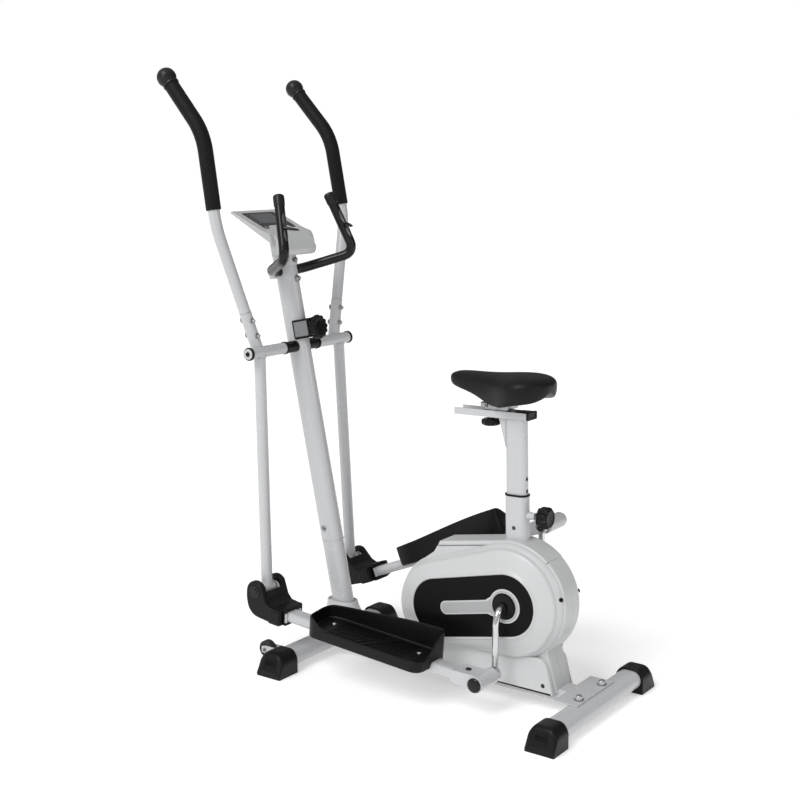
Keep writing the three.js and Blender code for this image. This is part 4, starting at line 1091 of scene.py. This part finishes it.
def make_arm(name, side):
    where = arm_space(name, side)
    body = f"arm_{name}"
    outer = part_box(f"swing_arm_{name}")
    half_length = max(abs(outer[0].x), abs(outer[1].x)) / MM - 5.8
    shoulder, foot = Vector((ARM_X, 0, 0)), Vector((ARM_X, -ARM_SET_BACK, -ARM_LENGTH))
    lower = swept(f"arm_tube_{name}", where, straight(shoulder, foot, 4), circle(TUBE), body, "white_paint")
    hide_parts(f"swing_arm_{name}")
    sleeve = ring_profile(0, half_length - SLEEVE_START, 9, TUBE + 0.1, 0.8, 0.9)
    turned(f"arm_sleeve_{name}", where, (SLEEVE_START, 0, 0), ACROSS, sleeve, body, "white_paint")
    swept(f"arm_stub_{name}", where, straight(stub_line(-4), stub_line(100), 3), circle(TUBE + 0.8), body,
          "white_paint", ends=1.4)
    eye = ring_profile(141, 179, 6, 16, 1)
    turned(f"arm_eye_{name}", where, (0, -ARM_SET_BACK, -ARM_LENGTH), ACROSS, eye, body, "white_paint")
    weld = [(-2.2, TUBE - 1), (-1.4, TUBE + 0.9), (0, TUBE + 1.6), (1.4, TUBE + 0.9), (2.2, TUBE - 1)]
    down = (foot - shoulder).normalized()
    turned(f"arm_weld_{name}", where, shoulder + down * TUBE, down, weld, body, "white_paint")

    route = bent([stub_line(100.4), (257, 50, 310), (257, 89, 530), (256, 195, 646)], 40, 12)
    handle = swept(f"handle_bar_{name}", where, route, circle(TUBE), body, "white_paint")
    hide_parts(f"handle_tube_{name}")
    grip_route = bent([(257, 57.1, 350), (257, 89, 530), (256, 194, 645)], 45, 14)
    foam = swept(f"foam_sleeve_{name}", where, grip_route, circle(GRIP_RADIUS, count=44), body, "foam",
                 ends=2.6, weighted=False)
    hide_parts(f"foam_grip_{name}")
    make_ball(name, where, body)
    make_stub_bolts(name, where, body)
    make_arm_cap(name, where, body, half_length)


def make_ball(name, where, body):
    """A round cap on the handle's end with a short collar and a moulding seam."""
    centre = Vector((256, 208, 661))
    along = Vector((-1, 106, 116)).normalized()
    radius = 23.8
    profile = [(-25, 15), (-25, 19.4), (-23.8, 20.2), (-21, 20.2), (-18.6, 19.6)]
    start = math.asin(-0.72)
    steps = 20
    for k in range(steps + 1):
        angle = start + (math.pi / 2 - start) * k / steps
        groove = 0.35 if k == 8 else 0.0
        profile.append((radius * math.sin(angle), radius * math.cos(angle) - groove))
    ball = turned(f"ball_cap_{name}", where, centre, along, profile, body, "ball_plastic", count=56)
    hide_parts(f"ball_end_{name}")


def make_stub_bolts(name, where, body):
    for label, z in (("upper", 80), ("lower", 42)):
        x, y, _ = stub_line(z)
        hex_bolt(f"stub_nut_{label}_{name}", where, (x, y - TUBE - 0.3, z), BACK, 6.8, body)
        washer = [(0, 3), (0, 8.4), (0.4, 9), (1.3, 9), (1.6, 8.4), (1.6, 3)]
        turned(f"stub_washer_{label}_{name}", where, (x, y + TUBE + 0.3, z), (0, 1, 0), washer, body, "steel")
        dome(f"stub_head_{label}_{name}", where, (x, y + TUBE + 1.9, z), (0, 1, 0), 7.6, 6.0, body, "steel")


def make_arm_cap(name, where, body, end):
    ring = [(0.3, 8.4), (0.3, 15.4), (1.2, 16.3), (5.8, 16.3), (7, 15.2), (7, 8.4)]
    cap = turned(f"arm_cap_{name}", where, (end, 0, 0), ACROSS, ring, body, "black_plastic")
    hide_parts(f"arm_end_cap_{name}")
    washer = [(6.4, 4), (6.4, 12.6), (7, 13.2), (8.2, 13.2), (8.8, 12.4), (8.8, 4)]
    turned(f"arm_washer_{name}", where, (end, 0, 0), ACROSS, washer, body, "white_paint")
    hex_bolt(f"arm_bolt_{name}", where, (end + 7.4, 0, 0), ACROSS, 6.0, body, look="ball_plastic")


# ---- Foot rails and pedals ----

RAIL_MIDDLE, RAIL_WIDTH, RAIL_THICK = 160.0, 50.0, 25.0
PEDAL = {"inner": 116.0, "outer": 235.0, "rear": 128.0, "front": 474.0, "floor": 16.0, "toe": 47.0,
         "heel": 75.0, "low": 25.0}


def make_rail(name, side):
    where, length = rail_space(name, side)
    body = f"rail_{name}"
    pivot = (length * math.cos(RAIL_DIP), length * math.sin(RAIL_DIP))
    section = [(u + RAIL_MIDDLE, v) for u, v in lying(capsule(RAIL_THICK, RAIL_WIDTH))]
    tube = slab(f"rail_tube_{name}", where, "y", section, 10, 606, body, "white_paint", bevel=1)
    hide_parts(f"foot_rail_{name}")
    wrap = rounded([(0, 19, 1), (62, 15.5, 3), (70, 13.2, 3), (70, -13.2, 3), (62, -15.5, 3), (0, -19, 1)])
    slab(f"rail_wrap_{name}", where, "x", wrap, 134, 186.5, body, "white_paint", bevel=1)
    sleeve = ring_profile(116, 192.5, 9, 19, 1)
    turned(f"rail_sleeve_{name}", where, (0, 0, 0), ACROSS, sleeve, body, "white_paint")
    dome(f"wrap_screw_{name}", where, (RAIL_MIDDLE, 38, 16.4), (0, 0.05, 1), 7.2, 4.4, body, "black_plastic",
         look="ball_plastic")
    make_spindle_cap(name, where, body)
    for label, x in (("inner", RAIL_MIDDLE - RAIL_WIDTH / 2 - 4), ("outer", RAIL_MIDDLE + RAIL_WIDTH / 2)):
        cheek = rounded([(560, -11.5, 3), (612, -11.5, 5), (pivot[0] + 17, pivot[1] - 7, 8),
                         (pivot[0] + 13, pivot[1] + 13, 9), (pivot[0] - 13, pivot[1] + 13, 9),
                         (610, 13, 5), (560, 11.5, 3)])
        slab(f"rail_cheek_{label}_{name}", where, "x", cheek, x, x + 4, body, "white_paint", bevel=0.6)
    make_pedal(name, where, body)
    make_pivot_cover(name, where, body, pivot)


def make_spindle_cap(name, where, body):
    profile = [(180, 8), (193, 8), (193, 16.2), (194, 17.2), (196.4, 17.2), (198.2, 15.6), (199.6, 11.5),
               (200.2, 6.5), (200.3, 0.05)]
    cap = turned(f"spindle_dome_{name}", where, (0, 0, 0), ACROSS, profile, body, "black_plastic",
                 look="gloss_black")
    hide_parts(f"spindle_cap_{name}")


def smoothstep(low, high, value):
    t = min(1.0, max(0.0, (value - low) / (high - low)))
    return t * t * (3 - 2 * t)


def pedal_outline():
    p = PEDAL
    return counter_clockwise(rounded([
        (p["inner"], p["rear"], 24), (p["outer"], p["rear"], 30), (p["outer"], p["front"] - 12, 30),
        (p["inner"] + 38, p["front"], 22), (p["inner"] + 8, p["front"] - 6, 24),
        (p["inner"], p["front"] - 48, 30),
    ], count=9))


def evenly(outline, spacing):
    """The same outline with points at an even spacing, so that a changing height stays smooth."""
    result = []
    for a, b in zip(outline, outline[1:] + outline[:1]):
        a, b = Vector(a), Vector(b)
        count = max(1, round((b - a).length / spacing))
        result += [tuple(a.lerp(b, i / count)) for i in range(count)]
    return result


def wall_height(x, u):
    """The tray's rim: tall inside and at the toe, low outside, with an S-curve down at the heel."""
    p = PEDAL
    tall = p["heel"] + (p["toe"] - p["heel"]) * smoothstep(p["rear"] + 8, p["front"] + 40, u)
    outward = smoothstep(p["inner"] + 12, p["outer"] - 24, x)
    toe = smoothstep(p["front"] - 72, p["front"] - 20, u)
    return tall + (p["low"] - tall) * outward * (1 - toe)


def make_pedal(name, where, body):
    p = PEDAL
    outline = evenly(pedal_outline(), 5)
    floor = p["floor"]
    # (inset, height, share of the wall height) from the bottom, up over the rim and down to the floor.
    profile = ((4, -2, 0), (1.2, -1.4, 0), (0.2, 1, 0), (0, 5, 0), (0, -6, 1), (0.1, -2, 1), (0.8, -0.5, 1),
               (2.0, 0, 1), (3.4, -0.5, 1), (4.2, -2, 1), (4.4, -4.5, 1), (4.8, floor + 4.5, 0),
               (6.0, floor + 1.6, 0), (8.6, floor + 0.2, 0), (10, floor, 0))
    heights = [wall_height(x, u) for x, u in outline]
    count = len(outline)
    verts = []
    for inset, height, share in profile:
        moved = offset(outline, inset)
        verts += [(x, u, height + share * h) for (x, u), h in zip(moved, heights)]
    faces = wall(0, count, len(profile))
    for first in (0, len(verts) - count):
        faces += fill([(verts[first:first + count], first)])
    tray = piece(f"pedal_tray_{name}", verts, faces, where, body, "black_plastic", angle=50)
    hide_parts(f"pedal_{name}")
    make_tread(name, where, body)
    for label, u in (("front", p["front"] - 42), ("rear", p["rear"] + 48)):
        dome(f"pedal_screw_{label}_{name}", where, (RAIL_MIDDLE, u, floor + 0.1), UP, 6.5, 3.2, body,
             "steel", look="chrome")


def make_tread(name, where, body):
    """Short ribs across the tray, parted by slanted bars."""
    p = PEDAL
    verts, faces = [], []

    def rib(start, end, half, height):
        a, b = Vector(start), Vector(end)
        along = (b - a).normalized()
        across = Vector((-along.y, along.x))
        base = len(verts)
        for lift, narrow in ((-0.5, 1.0), (height - 0.5, 0.85), (height, 0.45)):
            for spot, sign in ((a, -1), (b, 1)):
                for way in (-1, 1):
                    q = spot + across * half * narrow * way * sign + along * sign * (narrow - 1) * half
                    verts.append((q.x, q.y, p["floor"] + lift))
        for low in (0, 4):
            quad = [base + low + i for i in range(4)]
            top = [base + low + 4 + i for i in range(4)]
            faces.extend((quad[i], quad[(i + 1) % 4], top[(i + 1) % 4], top[i]) for i in range(4))
        faces.append(tuple(base + i for i in (3, 2, 1, 0)))
        faces.append(tuple(base + 8 + i for i in range(4)))

    left, right = p["inner"] + 14, p["outer"] - 14
    bars = ((left, p["rear"] + 118, right, p["rear"] + 178), (left, p["rear"] + 140, right, p["rear"] + 200))
    for x0, u0, x1, u1 in bars:
        rib((x0, u0), (x1, u1), 1.7, 2.4)
    pitch = 8.5
    rows = int((p["front"] - p["rear"] - 120) / pitch)
    for row in range(rows):
        u = p["rear"] + 68 + row * pitch
        if abs(u - (p["front"] - 42)) < 14:
            continue
        for column in range(4):
            x0 = left + 2 + column * 22.5
            x1 = x0 + 19
            middle = (x0 + x1) / 2
            slant = p["rear"] + 118 + 60 * (middle - left) / (right - left)
            if slant - 6 < u < slant + 28:
                continue
            rib((x0, u), (x1, u + 3.2), 1.25, 1.7)
    piece(f"pedal_tread_{name}", verts, faces, where, body, "black_plastic", weighted=False, angle=30)


def make_pivot_cover(name, where, body, pivot):
    """Two rounded cheeks beside the arm's foot, joined by a web below and a collar round the rail."""
    pu, pv = pivot
    outline = [(578, -19), (640, -14)]
    steps = 10
    for k in range(1, steps + 1):
        t = k / steps
        u = 640 * (1 - t) ** 2 + (pu + 28) * 2 * t * (1 - t) + (pu + 28.5) * t * t
        v = -14 * (1 - t) ** 2 + (pv - 62) * 2 * t * (1 - t) + (pv - 4) * t * t
        outline.append((u, v))
    outline += arc((pu, pv), 28, math.radians(0), math.radians(140), 26)
    outline += [(618, 34), (606, 22), (578, 19)]
    cheek = slab(f"pivot_cheek_inner_{name}", where, "x", outline, 113, 129, body, "black_plastic", bevel=4)
    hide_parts(f"pivot_cover_{name}")
    slab(f"pivot_cheek_outer_{name}", where, "x", outline, 190.5, 206, body, "black_plastic", bevel=4)
    band = offset(outline, 4.5)
    low = outline[:13]
    web = low + [band[i] for i in range(12, -1, -1)]
    slab(f"pivot_web_{name}", where, "x", web, 125, 195, body, "black_plastic", bevel=0.8)
    filler = rounded([(598, -18, 2), (636, -14, 4), (pu - 12, pv - 30, 6), (pu - 22, pv - 6, 8),
                      (pu - 26, pv + 6, 5), (620, 33, 5), (606, 21, 4), (598, 19, 2)])
    slab(f"pivot_filler_{name}", where, "x", filler, 125, 195, body, "black_plastic", bevel=1.5)
    collar = oblong(112, 207, -20, 20, 7)
    slab(f"pivot_collar_{name}", where, "y", collar, 572, 606, body, "black_plastic", bevel=2.5,
         holes=[oblong(131, 189, -13.6, 13.6, 8)])
    rim = oblong(130, 190, -22, 22, 9)
    slab(f"pivot_collar_rim_{name}", where, "y", rim, 566, 577, body, "black_plastic", bevel=2,
         holes=[oblong(134, 186, -13.4, 13.4, 8)])
    for label, x, way in (("outer", 206.4, 1), ("inner", 112.6, -1)):
        boss = [(-1, 5), (0, 15.5), (0.9, 15.2), (1.4, 13.8), (0.9, 12.4), (0.8, 9), (2.6, 8), (2.6, 0.05)]
        turned(f"pivot_boss_{label}_{name}", where, (x, pu, pv), (way, 0, 0), boss, body, "black_plastic",
               look="ball_plastic")
    for label, u in (("near", 588), ("far", 600)):
        screw_in_shaded_pocket(f"pivot_clip_{label}_{name}", where, (206.4, u, -6), ACROSS, 3.4, body)


# ---- Stage ----


CAMERA_AT = (-2.6867, -1.9051, 1.2894)
CAMERA_DOWN, CAMERA_HEADING, CAMERA_LENS = 10.34, -54.48, 61.6
LOOK_AT = (0, 0, 0.6)
WORLD_LIGHT_WAY = (-0.72, 0.12, 0.68)
# Name, kind, place, angle or size, power.
LIGHTS = (("sun", "SUN", (-2.6, 0.2, 3.4), 0.5, 1.4), ("key", "AREA", (-3.6, 0.6, 2.2), 0.7, 9),
          ("strip", "AREA", (-0.4, -3.6, 1.6), 0.8, 9))


def make_stage():
    """A pale floor, soft light and a camera at about the height of the handle ends."""
    bpy.ops.mesh.primitive_plane_add(size=60)
    floor = bpy.context.object
    floor.name = "floor"
    nodes = Nodes("floor_pale")
    for socket, value in (("Base Color", (0.93, 0.93, 0.93, 1)), ("Roughness", 0.9),
                          ("Specular IOR Level", 0.0), ("Emission Color", (1, 1, 1, 1)),
                          ("Emission Strength", 0.29)):
        nodes.shader.inputs[socket].default_value = value
    floor.data.materials.append(nodes.material)

    scene = bpy.context.scene
    scene.view_settings.view_transform = "Standard"
    world = bpy.data.worlds.new("studio")
    scene.world = world
    world.use_nodes = True
    tree = world.node_tree
    new = tree.nodes.new
    seen = new("ShaderNodeLightPath").outputs["Is Camera Ray"]
    facing = new("ShaderNodeVectorMath")
    facing.operation = "DOT_PRODUCT"
    tree.links.new(new("ShaderNodeTexCoord").outputs["Generated"], facing.inputs[0])
    facing.inputs[1].default_value = WORLD_LIGHT_WAY
    glow = new("ShaderNodeMapRange")
    for socket, value in (("From Min", -0.7), ("From Max", 0.9), ("To Min", 0.08), ("To Max", 0.72)):
        glow.inputs[socket].default_value = value
    tree.links.new(facing.outputs["Value"], glow.inputs["Value"])
    strength = new("ShaderNodeMapRange")
    strength.inputs["To Max"].default_value = 1.0
    tree.links.new(seen, strength.inputs["Value"])
    tree.links.new(glow.outputs["Result"], strength.inputs["To Min"])
    tree.nodes["Background"].inputs["Color"].default_value = (1, 1, 1, 1)
    tree.links.new(strength.outputs["Result"], tree.nodes["Background"].inputs["Strength"])

    for label, kind, place, size, power in LIGHTS:
        data = bpy.data.lights.new(label, kind)
        if kind == "SUN":
            data.angle = size
        else:
            data.size = size
        data.energy = power
        lamp = bpy.data.objects.new(label, data)
        lamp.location = place
        lamp.rotation_euler = (Vector(LOOK_AT) - Vector(place)).to_track_quat("-Z", "Y").to_euler()
        scene.collection.objects.link(lamp)

    camera = bpy.data.objects.new("camera", bpy.data.cameras.new("camera"))
    camera.location = CAMERA_AT
    camera.rotation_euler = (math.radians(90 - CAMERA_DOWN), 0, math.radians(CAMERA_HEADING))
    camera.data.lens = CAMERA_LENS
    camera.data.sensor_width = 36
    scene.collection.objects.link(camera)
    scene.camera = camera


def main():
    make_finishes()
    make_stage()
    make_base()
    make_boot()
    make_post()
    make_axle()
    make_tension()
    make_handlebar()
    make_console()
    make_shroud()
    make_drive()
    make_seat()
    for name, side in SIDES:
        make_arm(name, side)
        make_rail(name, side)


main()
